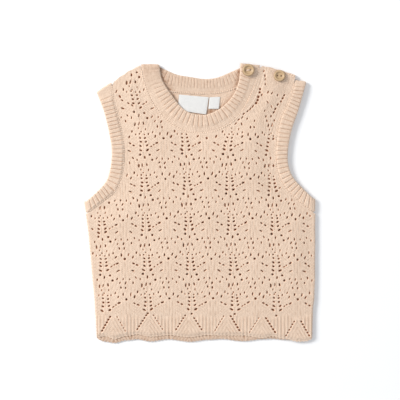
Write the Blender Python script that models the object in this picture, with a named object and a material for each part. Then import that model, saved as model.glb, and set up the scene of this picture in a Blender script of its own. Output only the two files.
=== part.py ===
"""A baby's knitted cotton vest, laid flat on its back.

+X is right and +Y is up the vest as it lies, towards the shoulders; +Z is up from the surface.
The origin is the middle of the underside.  Sizes are in millimetres and become metres in build().

The back lies on the surface and the front on the back.  Each armband is one ribbed ring,
pressed flat, with a fold at the shoulder and one under the arm.  The neckband is one ribbed
strip: it starts at the buttoned shoulder, runs round the front, folds over the other shoulder
and comes back round the back, under its own first end.
"""
import math

import bmesh
import bpy
from mathutils import Vector

MM = 0.001

# Cloth
WALL = 1.8                 # knitted panel
BAND = 2.4                 # ribbed band on the front
BACK_BAND = 2.1            # ribbed band under it, on the back
LAYER_GAP = 0.3            # between two layers that lie on each other
SEAM_GAP = 0.4             # between two pieces at a seam
LOFT = 1.5                 # how far the middle of the front stands off the back
RIB = 0.6                  # height of a raised rib
BACK_RIB = 0.3             # height of a rib on the inside of the back

FRONT_BASE = WALL + LAYER_GAP
BACK_NECK_TOP = BACK_BAND + BACK_RIB
NECK_END_BASE = BACK_NECK_TOP + LAYER_GAP     # where the front neckband crosses the back one
NECK_STAND = 1.3           # how much higher the neckband's free edge stands than its seam
ARM_BASE = WALL + LAYER_GAP + 0.2
EDGE_STEPS = (0.0, 0.9, 2.4)                  # distances in from a side edge, for its rounding
FRONT_EDGE = ((2.45, 3.0), (2.2, 3.75))       # bottom and top at the first two of them
BACK_EDGE = ((1.5, 2.15), (0.45, 1.95))

# Knitted lace: a leaf pattern that repeats across and up the panels
LACE_WIDTH = 42.3
LACE_HEIGHT = 39.5
LACE_TRUNK_X = -9.8        # one of the stems between the leaves
LACE_TIP_Y = -15.4         # height of one row of leaf tips
LACE_RELIEF = 0.35

# Hem: ribs that fan out from points 37.4 mm apart
HEM_PITCH = 3.4
HEM_FAN_WIDTH = 37.4
HEM_FAN_X = -9.8
HEM_FAN_PULL = 0.6         # how strongly the ribs draw together at a fan's point
HEM_TOP = -113.0
HEM_FADE = 3.0             # length over which the ribs fade into the lace
HEM_ROUND = 1.2

UNDERARM_Y = -11.2
CHEST_Y = 62.0             # height on the armholes level with the bottom of the front neckline
CENTRE_X = 0.2

SIDES = (
    # height, left x, right x
    (-140.0, -101.2, 111.4),
    (-133.0, -103.2, 112.4),
    (-105.0, -104.6, 113.0),
    (-95.0, -105.4, 114.6),
    (-73.0, -107.4, 115.1),
    (-35.0, -110.8, 115.3),
    (-11.0, -113.8, 115.4),
    (1.0, -115.6, 115.5),
)

HEMS = (
    # x, edge of the front, edge of the back
    (-103.0, -134.0, -135.5),
    (-95.3, -132.6, -138.0),
    (-85.0, -135.3, -139.4),
    (-74.0, -132.6, -136.9),
    (-62.4, -130.8, -135.8),
    (-49.5, -133.2, -137.9),
    (-31.8, -131.6, -135.7),
    (-9.8, -133.6, -138.2),
    (8.0, -131.4, -136.2),
    (21.5, -132.0, -135.5),
    (43.5, -132.0, -137.6),
    (63.4, -134.5, -135.6),
    (71.0, -132.7, -135.2),
    (85.0, -135.3, -136.2),
    (98.2, -138.0, -137.2),
    (106.2, -137.6, -137.0),
    (112.5, -135.4, -135.0),
)

# Neckband: the free edge and the seam, each from the viewer's left shoulder to its right end
NECK_FOLD_Y = 136.1
FRONT_NECK_FREE = (
    (-40.2, NECK_FOLD_Y), (-37.5, 123.0), (-28.2, 108.0), (-14.9, 92.8), (2.0, 87.6),
    (18.8, 93.3), (32.1, 105.9), (38.7, 121.0), (40.4, 139.2),
)
FRONT_NECK_SEAM = (
    (-58.5, NECK_FOLD_Y), (-55.5, 121.0), (-48.0, 102.0), (-33.6, 83.2), (-15.4, 72.6),
    (CENTRE_X, 69.8), (14.6, 71.7), (33.0, 81.3), (46.0, 98.0), (54.6, 118.0), (60.0, 137.2),
)
BACK_NECK_FREE = (
    (-40.2, NECK_FOLD_Y), (-37.8, 134.6), (-31.7, 131.9), (-22.0, 128.0), (-9.0, 125.8),
    (5.0, 123.8), (17.4, 125.2), (27.9, 129.4), (38.4, 134.0), (46.0, 137.0),
)
BACK_NECK_SEAM = (
    (-58.5, NECK_FOLD_Y), (-54.5, 124.5), (-45.0, 115.5), (-28.8, 111.6), (-12.8, 110.0),
    (CENTRE_X, 109.3), (20.7, 110.5), (34.2, 114.2), (47.2, 121.5), (56.5, 131.0),
)
FRONT_NECK_RIBS = 36
BACK_NECK_RIBS = 22
NECK_RIB_SHARE = 0.62      # share of the band's width that is ribbed; the rest is plain

# Armbands: the free edge and the seam, each from the shoulder to the underarm
LEFT_ARM_FREE = (
    (-102.2, 108.8), (-95.2, 90.0), (-89.6, 66.0), (-87.8, 50.0), (-89.6, 33.0),
    (-93.8, 21.0), (-104.5, 9.2), (-113.2, 1.6),
)
LEFT_ARM_SEAM = (
    (-87.6, 118.5), (-85.4, 102.0), (-80.4, 82.0), (-75.6, 60.0), (-75.8, 40.0),
    (-78.2, 23.5), (-83.6, 12.6), (-92.6, 4.8), (-102.0, -2.4), (-111.6, -9.4),
)
RIGHT_ARM_FREE = (
    (105.9, 119.2), (98.6, 93.5), (91.4, 72.0), (87.8, 51.0), (88.6, 37.0),
    (93.4, 25.1), (104.4, 12.8), (113.1, 4.4),
)
RIGHT_ARM_SEAM = (
    (95.0, 120.6), (89.8, 104.0), (81.0, 86.0), (77.0, 69.0), (75.7, 50.0),
    (77.7, 31.0), (83.2, 18.5), (91.0, 9.0), (101.0, 0.0), (112.8, -8.6),
)
ARM_RIBS = 31
ARM_BACK_STATIONS = 22
FOLD_ANGLES = (60.0, 20.0, -20.0, -60.0)      # stations round a fold, from its top to its bottom

# Shoulder edges of the panels: armhole end, neck end
LEFT_SHOULDER = ((-87.0, 119.6), (-59.4, 137.0))
RIGHT_SHOULDER = ((95.2, 127.4), (60.9, 136.9))

# Buttons
BUTTON_RADIUS = 6.1
BUTTON_HOLE_RADIUS = 0.8
BUTTON_HOLE_SPACING = 3.9
BUTTON_PROFILE = (
    # radius, height: from the middle of the dish over the rim to the middle of the back
    (0.0, 1.5), (2.9, 1.5), (3.7, 2.2), (4.6, 2.8), (5.5, 2.7), (6.1, 1.8),
    (5.6, 0.7), (3.6, 0.0), (0.0, 0.0),
)
BUTTON_SIDES = 24
NECK_BUTTON_AT = (48.3, 132.2, 6.1)
SHOULDER_BUTTON_AT = (79.3, 126.2, 4.6)
SHOULDER_BUTTON_TILT = -10.0

# Labels: woven tape folded in two, sewn in at the back neck seam and bare
LABEL_THICK = 0.6
LABEL_BASE = WALL + LAYER_GAP
NECK_LABEL = ((-20.9, 108.3), (8.9, 105.6), (6.3, 88.4), (-21.6, 92.6))
SIZE_LABEL = ((9.8, 105.6), (20.3, 106.0), (19.2, 93.9), (8.6, 94.0))
LABEL_CELLS = 5
LABEL_BOW = 0.1            # rise of a label's middle


class Path:
    """A smooth curve through a few points of the plan, read by its length."""

    def __init__(self, points, steps=10):
        ends = [points[0]] + list(points) + [points[-1]]
        self.points = [Vector(points[0])]
        for index in range(1, len(ends) - 2):
            before, start, end, after = (Vector(p) for p in ends[index - 1:index + 3])
            for step in range(1, steps + 1):
                self.points.append(between(before, start, end, after, step / steps))
        self.lengths = [0.0]
        for first, second in zip(self.points, self.points[1:]):
            self.lengths.append(self.lengths[-1] + (second - first).length)

    def at(self, share):
        """The point at a share of the length."""
        goal = max(0.0, min(1.0, share)) * self.lengths[-1]
        for index in range(1, len(self.points)):
            if goal <= self.lengths[index]:
                span = self.lengths[index] - self.lengths[index - 1]
                part = (goal - self.lengths[index - 1]) / span
                return self.points[index - 1].lerp(self.points[index], part)
        return self.points[-1].copy()

    def share_at_height(self, height):
        """The share of the length at which the curve passes a height."""
        for index in range(1, len(self.points)):
            low, high = self.points[index - 1].y, self.points[index].y
            if min(low, high) <= height <= max(low, high) and low != high:
                part = (height - low) / (high - low)
                span = self.lengths[index] - self.lengths[index - 1]
                return (self.lengths[index - 1] + part * span) / self.lengths[-1]
        return 1.0

    def beside(self, share, distance):
        """A point beside the curve, on the left of its direction of travel."""
        ahead, behind = self.at(share + 0.004), self.at(share - 0.004)
        along = (ahead - behind).normalized()
        return self.at(share) + distance * Vector((-along.y, along.x))


def between(before, start, end, after, part):
    """A point of a Catmull-Rom curve between its two middle points."""
    square, cube = part * part, part * part * part
    return 0.5 * (2.0 * start + (end - before) * part
                  + (2.0 * before - 5.0 * start + 4.0 * end - after) * square
                  + (3.0 * start - before - 3.0 * end + after) * cube)


def ease(value):
    """Smooth step from 0 to 1."""
    value = max(0.0, min(1.0, value))
    return value * value * (3.0 - 2.0 * value)


def read_table(table, key, column):
    """A column of a table, eased between the two rows round the key."""
    for row, after in zip(table, table[1:]):
        if key <= after[0]:
            part = ease((key - row[0]) / (after[0] - row[0]))
            return row[column] + (after[column] - row[column]) * part
    return table[-1][column]


def read_line(table, key, column):
    """A column of a table, in straight lines between its rows."""
    for row, after in zip(table, table[1:]):
        if key <= after[0]:
            part = max(0.0, (key - row[0]) / (after[0] - row[0]))
            return row[column] + (after[column] - row[column]) * part
    return table[-1][column]


def material(name, colour, roughness):
    """A plain surface of one colour."""
    made = bpy.data.materials.new(name)
    made.use_nodes = True
    shader = made.node_tree.nodes["Principled BSDF"]
    shader.inputs["Base Color"].default_value = (*colour, 1.0)
    shader.inputs["Roughness"].default_value = roughness
    shader.inputs["Metallic"].default_value = 0.0
    return made


def add_solid(name, corners, faces, surface):
    """One closed body from corners in millimetres."""
    mesh = bpy.data.meshes.new(name)
    mesh.from_pydata([tuple(MM * value for value in corner) for corner in corners], [], faces)
    mesh.validate()
    work = bmesh.new()
    work.from_mesh(mesh)
    bmesh.ops.recalc_face_normals(work, faces=work.faces)
    work.to_mesh(mesh)
    work.free()
    mesh.materials.append(surface)
    piece = bpy.data.objects.new(name, mesh)
    bpy.context.scene.collection.objects.link(piece)
    return piece


def thick_sheet(name, points, faces, surface):
    """A wall from points of (x, y, bottom, top) and the faces of its plan."""
    count = len(points)
    corners = [(x, y, top) for x, y, bottom, top in points]
    corners += [(x, y, bottom) for x, y, bottom, top in points]
    skin = list(faces)
    skin += [tuple(count + corner for corner in reversed(face)) for face in faces]
    used = {}
    for face in faces:
        for start, end in zip(face, face[1:] + face[:1]):
            used[(start, end)] = True
    for start, end in used:
        if (end, start) not in used:
            skin.append((end, start, count + start, count + end))
    return add_solid(name, corners, skin, surface)


def join_rows(lower, upper):
    """Faces between two rows of points, which may have different counts."""
    if len(lower) == len(upper):
        pairs = zip(lower, lower[1:], upper[1:], upper)
        return [tuple(corners) for corners in pairs]
    faces = []
    low, high = 0, 0
    while low < len(lower) - 1 or high < len(upper) - 1:
        low_share = (low + 0.5) / (len(lower) - 1)
        high_share = (high + 0.5) / (len(upper) - 1)
        if high == len(upper) - 1 or (low < len(lower) - 1 and low_share <= high_share):
            faces.append((lower[low], lower[low + 1], upper[high]))
            low += 1
        else:
            faces.append((lower[low], upper[high + 1], upper[high]))
            high += 1
    return faces


def lace_relief(x, y):
    """Height of the leaf pattern: valleys at the stems, swells at the leaves."""
    across = 2.0 * math.pi * (x - LACE_TRUNK_X) / LACE_WIDTH
    up = 2.0 * math.pi * (y - LACE_TIP_Y) / LACE_HEIGHT
    swell = 0.5 - 0.5 * math.cos(across)
    return LACE_RELIEF * swell * (0.65 + 0.35 * math.cos(up))


class Panel:
    """The front or the back: rows of points from the hem up to the shoulders."""

    def __init__(self, columns, neck_left, neck_right, neck_gap, is_front):
        self.columns = columns
        self.neck_left = neck_left
        self.neck_right = neck_right
        self.neck_gap = neck_gap
        self.is_front = is_front
        self.points = []
        self.faces = []

    def heights(self, x, y, loft):
        """Bottom and top of the wall away from its edges."""
        if self.is_front:
            bottom = FRONT_BASE + loft
            return bottom, bottom + WALL + lace_relief(x, y)
        return 0.0, WALL

    def add(self, x, y, bottom, top):
        self.points.append((x, y, bottom, top))
        return len(self.points) - 1

    def half_row(self, edge, inner, loft, has_side, is_last=False):
        """Points from a side edge or an armhole in to the middle or the neck."""
        edge, inner = Vector(edge), Vector(inner)
        width = (inner - edge).length
        shares = [step / width for step in EDGE_STEPS]
        shares += [shares[-1] + (1.0 - shares[-1]) * step / self.columns
                   for step in range(1, self.columns + 1)]
        row = []
        for index, share in enumerate(shares):
            spot = edge.lerp(inner, share)
            lift = loft * math.sin(0.5 * math.pi * share) ** 0.6
            bottom, top = self.heights(spot.x, spot.y, lift)
            rounding = FRONT_EDGE if self.is_front else BACK_EDGE
            if has_side and index < len(rounding):
                bottom, top = rounding[index]
            if is_last:
                top = bottom + 0.55 * (top - bottom)
            row.append(self.add(spot.x, spot.y, bottom, top))
        return row

    def full_row(self, left, middle, right, loft, has_side):
        left_half = self.half_row(left, middle, loft, has_side)
        right_half = self.half_row(right, middle, loft, has_side)
        right_half[-1] = left_half[-1]
        self.points.pop()
        return left_half + right_half[-2::-1]

    def hem_row(self, lift, rib_share, pull, is_edge):
        """A row of hem points: every second one is on a rib."""
        column = 1 if self.is_front else 2
        rib = RIB if self.is_front else BACK_RIB
        rounding = FRONT_EDGE if self.is_front else BACK_EDGE
        count = 2 * int((SIDES[1][2] - SIDES[1][1]) / HEM_PITCH)
        row = []
        for index in range(count + 1):
            share = index / count
            guess_x = SIDES[1][1] + share * (SIDES[1][2] - SIDES[1][1])
            edge_y = read_table(HEMS, guess_x, column)
            y = edge_y if is_edge else max(edge_y + HEM_ROUND, lift)
            left, right = read_line(SIDES, y, 1), read_line(SIDES, y, 2)
            x = left + share * (right - left)
            turn = 2.0 * math.pi * (x - HEM_FAN_X) / HEM_FAN_WIDTH
            inside = min(1.0, min(x - left, right - x) / 6.0)
            x -= inside * pull * HEM_FAN_WIDTH / (2.0 * math.pi) * math.sin(turn)
            loft = 0.35 * LOFT * math.sin(math.pi * share) if self.is_front else 0.0
            bottom, top = self.heights(0.0, 0.0, loft)
            top = bottom + WALL + rib_share * rib * (index % 2)
            inward = min(index, count - index)
            if inward < len(rounding):
                bottom, top = rounding[inward]
            if is_edge:
                top = bottom + 0.6 * (top - bottom)
            row.append(self.add(x, y, bottom, top))
        return row

    def join(self, lower, upper):
        self.faces += join_rows(lower, upper)

    def hem(self, levels):
        """The ribbed rows, and the last of them for the lace to start from."""
        row = self.hem_row(0.0, 1.0, 0.0, True)
        for height, rib_share, pull in levels:
            upper = self.hem_row(height, rib_share, pull, False)
            self.join(row, upper)
            row = upper
        return row

    def body(self, row, side_rows, arm_rows):
        """The lace from the hem to the bottom of the neckline."""
        arms = [Path(LEFT_ARM_SEAM[::-1]), Path(RIGHT_ARM_SEAM[::-1])]
        gaps = (-SEAM_GAP, SEAM_GAP)
        start_y = HEM_TOP + 7.0
        for index in range(side_rows + 1):
            share = index / side_rows
            y = start_y + share * (UNDERARM_Y - start_y)
            loft = LOFT * (0.35 + 0.65 * ease(2.0 * share))
            left, right = (read_line(SIDES, y, 1), y), (read_line(SIDES, y, 2), y)
            upper = self.full_row(left, (CENTRE_X, y), right, loft, True)
            self.join(row, upper)
            row = upper
        neck_y = self.neck_left.at(0.0).y - self.neck_gap
        chest = [arm.share_at_height(min(CHEST_Y, neck_y - 8.0)) for arm in arms]
        if not self.is_front:
            chest = [arm.share_at_height(100.0) for arm in arms]
        for index in range(1, arm_rows + 1):
            share = index / arm_rows
            left, right = (arm.beside(share * end, gap)
                           for arm, end, gap in zip(arms, chest, gaps))
            y = UNDERARM_Y + share * (neck_y - UNDERARM_Y)
            loft = LOFT * (1.0 - ease(share))
            upper = self.full_row(left, (CENTRE_X, y), right, loft, False)
            self.join(row, upper)
            row = upper
        return row, arms, chest

    def straps(self, row, arms, chest, shoulders, strap_rows):
        """The two shoulders, each between an armhole and the neckline."""
        middle = len(row) // 2
        halves = (row[:middle + 1], row[middle:][::-1])
        necks = (self.neck_left, self.neck_right)
        for side in range(2):
            sign = 1 if side == 0 else -1
            lower = halves[side]
            for index in range(1, strap_rows + 1):
                share = index / strap_rows
                if index == strap_rows:
                    edge, inner = shoulders[side]
                else:
                    along = chest[side] + share * (0.985 - chest[side])
                    edge = arms[side].beside(along, -sign * SEAM_GAP)
                    inner = necks[side].beside(0.985 * share, sign * self.neck_gap)
                upper = self.half_row(edge, inner, 0.0, False, index == strap_rows)
                if side == 0:
                    self.join(lower, upper)
                else:
                    self.faces += [face[::-1] for face in join_rows(lower, upper)]
                lower = upper

    def solid(self, name, surface):
        return thick_sheet(name, self.points, self.faces, surface)


def cut_path(points, start_x, direction):
    """The part of a neckline from its middle to one end, starting at its middle."""
    whole = Path(points)
    chosen = [point for point in whole.points if (point.x - start_x) * direction > 0.5]
    if direction < 0:
        chosen = chosen[::-1]
    centre = min(whole.points, key=lambda point: abs(point.x - start_x))
    return Path([(start_x, centre.y)] + [tuple(point) for point in chosen], 1)


def front_panel(surface):
    """The front, from its scalloped hem to both shoulders."""
    necks = (cut_path(FRONT_NECK_SEAM, CENTRE_X, -1), cut_path(FRONT_NECK_SEAM, CENTRE_X, 1))
    panel = Panel(9, *necks, SEAM_GAP, True)
    ribbed = HEM_TOP - HEM_FADE
    row = panel.hem((
        # height, share of the rib's height, pull of the fans
        (-140.0, 1.0, 0.0),
        (-123.0, 1.0, 0.5 * HEM_FAN_PULL),
        (ribbed, 1.0, HEM_FAN_PULL),
        (HEM_TOP, 0.0, HEM_FAN_PULL),
    ))
    row, arms, chest = panel.body(row, 13, 15)
    panel.straps(row, arms, chest, (LEFT_SHOULDER, RIGHT_SHOULDER), 14)
    return panel.solid("front", surface)


def back_panel(surface):
    """The back: flat underneath, where it lies, with its hem showing below the front's."""
    necks = (cut_path(BACK_NECK_SEAM, CENTRE_X, -1), cut_path(BACK_NECK_SEAM, CENTRE_X, 1))
    panel = Panel(3, *necks, SEAM_GAP + 0.3, False)
    row = panel.hem((
        (-140.0, 1.0, 0.0),
        (-127.0, 0.6, 0.0),
    ))
    row, arms, chest = panel.body(row, 6, 20)
    left = (LEFT_SHOULDER[0], (-60.0, 136.6))
    right = ((95.3, 127.9), (59.8, 133.2))
    panel.straps(row, arms, chest, (left, right), 12)
    return panel.solid("back", surface)


def ring_of(station):
    """The cross-section of a band at one station, as corners round it."""
    outer_free, outer_seam, inner_free, inner_seam, outer_lift, inner_lift, rib_share = station
    middle = 0.5 * (outer_free + inner_free)

    def spot(free, seam, share, lift):
        return free.lerp(seam, share) + Vector((0.0, 0.0, lift))

    return [
        tuple(middle),
        tuple(spot(outer_free, outer_seam, 0.07, outer_lift)),
        tuple(spot(outer_free, outer_seam, rib_share, outer_lift)),
        tuple(spot(outer_free, outer_seam, rib_share + 0.06, 0.0)),
        tuple(outer_seam),
        tuple(inner_seam),
        tuple(spot(inner_free, inner_seam, rib_share, inner_lift)),
        tuple(spot(inner_free, inner_seam, 0.07, inner_lift)),
    ]


def band_solid(name, stations, is_ring, surface):
    """A band swept through its stations, closed on itself or capped at both ends."""
    rings = [ring_of(station) for station in stations]
    size = len(rings[0])
    corners = [corner for ring in rings for corner in ring]
    faces = []
    last = len(rings) if is_ring else len(rings) - 1
    for index in range(last):
        here, there = index * size, ((index + 1) % len(rings)) * size
        for step in range(size):
            following = (step + 1) % size
            faces.append((here + step, here + following, there + following, there + step))
    if not is_ring:
        faces.append(tuple(range(size))[::-1])
        faces.append(tuple((len(rings) - 1) * size + step for step in range(size)))
    return add_solid(name, corners, faces, surface)


def lying_station(free, seam, inner, outer, lifts, rib_share):
    """A station of a band that lies flat: inner and outer are heights at free edge and seam."""
    heights = (outer[0], outer[1], inner[0], inner[1])
    places = (free, seam, free, seam)
    corners = [Vector((place.x, place.y, height)) for place, height in zip(places, heights)]
    return (*corners, *lifts, rib_share)


def fold_stations(free, seam, outward, inner_heights, outer_heights, rib_share):
    """Stations round a fold that takes a band from its front, above, to its back, below."""
    centre = 0.5 * (inner_heights[0] + inner_heights[1])
    inner_radius = 0.5 * (inner_heights[0] - inner_heights[1])
    outer_radius = 0.5 * (outer_heights[0] - outer_heights[1])
    stations = []
    for angle in FOLD_ANGLES:
        turn = math.radians(angle)
        corners = []
        for radius in (outer_radius, inner_radius):
            for place in (free, seam):
                spot = place + radius * math.cos(turn) * outward
                corners.append(Vector((spot.x, spot.y, centre + radius * math.sin(turn))))
        stations.append((*corners, 0.0, 0.0, rib_share))
    return stations


def neck_base(share):
    """Height of the front neckband's underside at its free edge and at its seam."""
    crossing = 1.0 - ease(min(share, 1.0 - share) / 0.25)
    seam = FRONT_BASE + crossing * (NECK_END_BASE - FRONT_BASE)
    free = seam + NECK_STAND * (1.0 - ease(1.0 - min(share, 1.0 - share) / 0.2))
    return free, seam


def neckband(surface):
    """The neckband, from its buttoned end round the front and back under that end."""
    stations = []
    free, seam = Path(FRONT_NECK_FREE), Path(FRONT_NECK_SEAM)
    count = 2 * FRONT_NECK_RIBS
    for index in range(count + 1):
        share = 1.0 - index / count
        inner = neck_base(share)
        outer = [height + BAND for height in inner]
        fade = ease(share / 0.06)
        lifts = (RIB * fade * (index % 2), 0.0)
        stations.append(lying_station(free.at(share), seam.at(share), inner, outer, lifts,
                                      NECK_RIB_SHARE))
    inner_heights = (NECK_END_BASE, BACK_BAND)
    outer_heights = (NECK_END_BASE + BAND, 0.0)
    start, end = free.at(0.0), seam.at(0.0)
    stations += fold_stations(start, end, Vector((0.0, 1.0)), inner_heights, outer_heights,
                              NECK_RIB_SHARE)
    free, seam = Path(BACK_NECK_FREE), Path(BACK_NECK_SEAM)
    count = 2 * BACK_NECK_RIBS
    for index in range(count + 1):
        share = index / count
        fade = ease(share / 0.08)
        lifts = (0.0, BACK_RIB * fade * (index % 2))
        stations.append(lying_station(free.at(share), seam.at(share), (BACK_BAND,) * 2,
                                      (0.0, 0.0), lifts, NECK_RIB_SHARE))
    return band_solid("neckband", stations, False, surface)


def armband(name, free_points, seam_points, side_x, surface):
    """One armband: a ribbed ring pressed flat, with its folds at shoulder and underarm."""
    free, seam = Path(free_points), Path(seam_points)
    ribbed = 0.86
    inner_heights = (ARM_BASE, WALL + 0.2)
    outer_heights = (ARM_BASE + BAND, 0.0)
    stations = []
    count = 2 * ARM_RIBS
    for index in range(count + 1):
        share = index / count
        lifts = (RIB * (index % 2), 0.0)
        stations.append(lying_station(free.at(share), seam.at(share), (ARM_BASE,) * 2,
                                      (ARM_BASE + BAND,) * 2, lifts, ribbed))
    outward = Vector((side_x, 0.0))
    stations += fold_stations(free.at(1.0), seam.at(1.0), outward, inner_heights,
                              outer_heights, ribbed)
    for index in range(ARM_BACK_STATIONS + 1):
        share = 1.0 - index / ARM_BACK_STATIONS
        stations.append(lying_station(free.at(share), seam.at(share), (WALL + 0.2,) * 2,
                                      (0.0, 0.0), (0.0, 0.0), ribbed))
    shoulder = (seam.at(0.0) - free.at(0.0)).normalized()
    outward = Vector((-shoulder.y, shoulder.x)) * -side_x
    folded = fold_stations(free.at(0.0), seam.at(0.0), outward, inner_heights,
                           outer_heights, ribbed)
    stations += folded[::-1]
    return band_solid(name, stations, True, surface)


def button(name, place, tilt, surface):
    """A turned button with a rim, a dished middle and two holes."""
    corners = []
    faces = []
    turns = [2.0 * math.pi * index / BUTTON_SIDES for index in range(BUTTON_SIDES)]
    for radius, height in BUTTON_PROFILE[1:-1]:
        corners += [(radius * math.cos(turn), radius * math.sin(turn), height) for turn in turns]
    rings = len(BUTTON_PROFILE) - 2
    for ring in range(rings - 1):
        for index in range(BUTTON_SIDES):
            following = (index + 1) % BUTTON_SIDES
            here, there = ring * BUTTON_SIDES, (ring + 1) * BUTTON_SIDES
            faces.append((here + index, there + index, there + following, here + following))
    faces.append(tuple(range(BUTTON_SIDES)))
    faces.append(tuple((rings - 1) * BUTTON_SIDES + index for index in range(BUTTON_SIDES))[::-1])
    piece = add_solid(name, corners, faces, surface)
    for side in (-1, 1):
        bpy.ops.mesh.primitive_cylinder_add(vertices=12, radius=BUTTON_HOLE_RADIUS * MM,
                                            depth=0.02)
        cutter = bpy.context.object
        cutter.name = name + ("_left_hole" if side < 0 else "_right_hole")
        cutter.location = (side * 0.5 * BUTTON_HOLE_SPACING * MM, 0.0, 0.0)
        cutter.hide_render = True
        cutter.display_type = "WIRE"
        cutter.parent = piece
        hole = piece.modifiers.new(cutter.name, "BOOLEAN")
        hole.operation = "DIFFERENCE"
        hole.solver = "EXACT"
        hole.object = cutter
    piece.location = [MM * value for value in place]
    piece.rotation_euler = (math.radians(tilt), 0.0, 0.0)
    return piece


def label(name, corners, surface):
    """A small flat tab of folded tape, its middle slightly bowed."""
    top_left, top_right, low_right, low_left = (Vector(corner) for corner in corners)
    points = []
    faces = []
    for row in range(LABEL_CELLS + 1):
        down = row / LABEL_CELLS
        left, right = top_left.lerp(low_left, down), top_right.lerp(low_right, down)
        for column in range(LABEL_CELLS + 1):
            across = column / LABEL_CELLS
            spot = left.lerp(right, across)
            base = LABEL_BASE + LABEL_BOW * math.sin(math.pi * across) * down
            points.append((spot.x, spot.y, base, base + LABEL_THICK))
    size = LABEL_CELLS + 1
    for row in range(LABEL_CELLS):
        for column in range(LABEL_CELLS):
            first = row * size + column
            faces.append((first, first + size, first + size + 1, first + 1))
    return thick_sheet(name, points, faces, surface)


def build():
    """The whole vest."""
    for old in list(bpy.data.objects):
        bpy.data.objects.remove(old)
    lace = material("lace_knit", (0.84, 0.64, 0.49), 0.9)
    ribbing = material("rib_knit", (0.86, 0.66, 0.50), 0.9)
    front_panel(lace)
    back_panel(material("lace_knit_inside", (0.76, 0.57, 0.43), 0.9))
    neckband(ribbing)
    armband("armband_left", LEFT_ARM_FREE, LEFT_ARM_SEAM, -1.0,
            material("left_rib_knit", (0.86, 0.66, 0.50), 0.9))
    armband("armband_right", RIGHT_ARM_FREE, RIGHT_ARM_SEAM, 1.0,
            material("right_rib_knit", (0.86, 0.66, 0.50), 0.9))
    wood = (0.58, 0.42, 0.26)
    button("button_neck", NECK_BUTTON_AT, 0.0, material("neck_button_wood", wood, 0.45))
    button("button_shoulder", SHOULDER_BUTTON_AT, SHOULDER_BUTTON_TILT,
           material("shoulder_button_wood", wood, 0.45))
    label("neck_label", NECK_LABEL, material("woven_tape", (0.86, 0.86, 0.84), 0.7))
    label("size_label", SIZE_LABEL, material("small_woven_tape", (0.86, 0.86, 0.84), 0.7))


build()
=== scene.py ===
"""Looks of a baby's knitted lace vest, laid flat on a pale floor and seen from straight above.

Sizes are in millimetres in the part's own frame and become metres when a mesh is made.
"""

import math

import bmesh
import bpy
import numpy as np
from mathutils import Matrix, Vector
from mathutils.geometry import delaunay_2d_cdt
from mathutils.kdtree import KDTree

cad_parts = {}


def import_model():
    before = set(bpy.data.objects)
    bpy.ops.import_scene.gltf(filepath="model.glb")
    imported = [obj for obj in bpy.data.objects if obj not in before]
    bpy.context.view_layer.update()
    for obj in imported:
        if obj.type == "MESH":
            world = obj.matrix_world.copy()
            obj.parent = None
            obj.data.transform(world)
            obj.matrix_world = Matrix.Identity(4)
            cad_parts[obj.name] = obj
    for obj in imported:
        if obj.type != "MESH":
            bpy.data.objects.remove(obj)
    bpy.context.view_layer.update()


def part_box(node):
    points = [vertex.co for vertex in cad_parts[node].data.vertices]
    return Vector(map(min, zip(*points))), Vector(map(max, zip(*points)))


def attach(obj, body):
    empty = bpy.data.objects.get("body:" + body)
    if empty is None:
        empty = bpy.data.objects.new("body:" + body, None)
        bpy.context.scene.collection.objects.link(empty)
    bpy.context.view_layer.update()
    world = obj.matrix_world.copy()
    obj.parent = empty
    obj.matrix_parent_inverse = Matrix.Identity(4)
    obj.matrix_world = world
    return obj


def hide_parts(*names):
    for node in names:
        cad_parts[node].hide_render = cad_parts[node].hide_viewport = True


MM = 0.001


# ---------------------------------------------------------------- curves
def ease(value):
    """Smooth step from 0 to 1."""
    value = np.clip(value, 0.0, 1.0)
    return value * value * (3.0 - 2.0 * value)


def groove_line(distance, width):
    """1 at a groove's line, falling off beside it."""
    return np.exp(-(distance / width) ** 2)


def spline(before, start, end, after, part):
    """A place between start and end on a smooth curve through all four."""
    return 0.5 * (2 * start + (end - before) * part
                  + (2 * before - 5 * start + 4 * end - after) * part ** 2
                  + (3 * start - before - 3 * end + after) * part ** 3)


class Path:
    """A smooth curve through a few points of the plan, read by its length."""

    STEPS = 12

    def __init__(self, *points):
        ends = np.array([points[0], *points, points[-1]], float)
        part = np.arange(1, self.STEPS + 1)[:, None] / self.STEPS
        self.points = np.vstack([ends[:1], *(spline(*ends[index:index + 4], part)
                                             for index in range(len(points) - 1))])
        spans = np.linalg.norm(np.diff(self.points, axis=0), axis=1)
        self.lengths = np.concatenate([[0.0], np.cumsum(spans)])
        self.length = self.lengths[-1]

    def at(self, share):
        """Points at shares of the length."""
        goal = np.clip(share, 0.0, 1.0) * self.length
        return np.stack([np.interp(goal, self.lengths, column) for column in self.points.T],
                        axis=-1)

    def ahead(self, share, reach):
        """Directions of travel, and those to their left."""
        along = self.at(share + reach) - self.at(share - reach)
        along /= np.linalg.norm(along, axis=-1, keepdims=True)
        return along, np.stack([-along[..., 1], along[..., 0]], axis=-1)

    def beside(self, share, distance):
        """Points beside the curve, on the left of its direction of travel."""
        return self.at(share) + distance * self.ahead(share, 0.006)[1]


# ---------------------------------------------------------------- main sizes
# Most are the solids' own; SEAM_GAP, NECK_STAND and LACE_HEIGHT differ a little from theirs.
WALL = 1.8
BAND = 2.4
BACK_BAND = 2.1
LAYER_GAP = 0.3
SEAM_GAP = 0.35
LOFT = 1.5
FRONT_BASE = WALL + LAYER_GAP
NECK_END_BASE = BACK_BAND + 0.3 + LAYER_GAP
NECK_STAND = 0.9
ARM_BASE = WALL + LAYER_GAP + 0.2
UNDERARM_Y = -11.2

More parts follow.
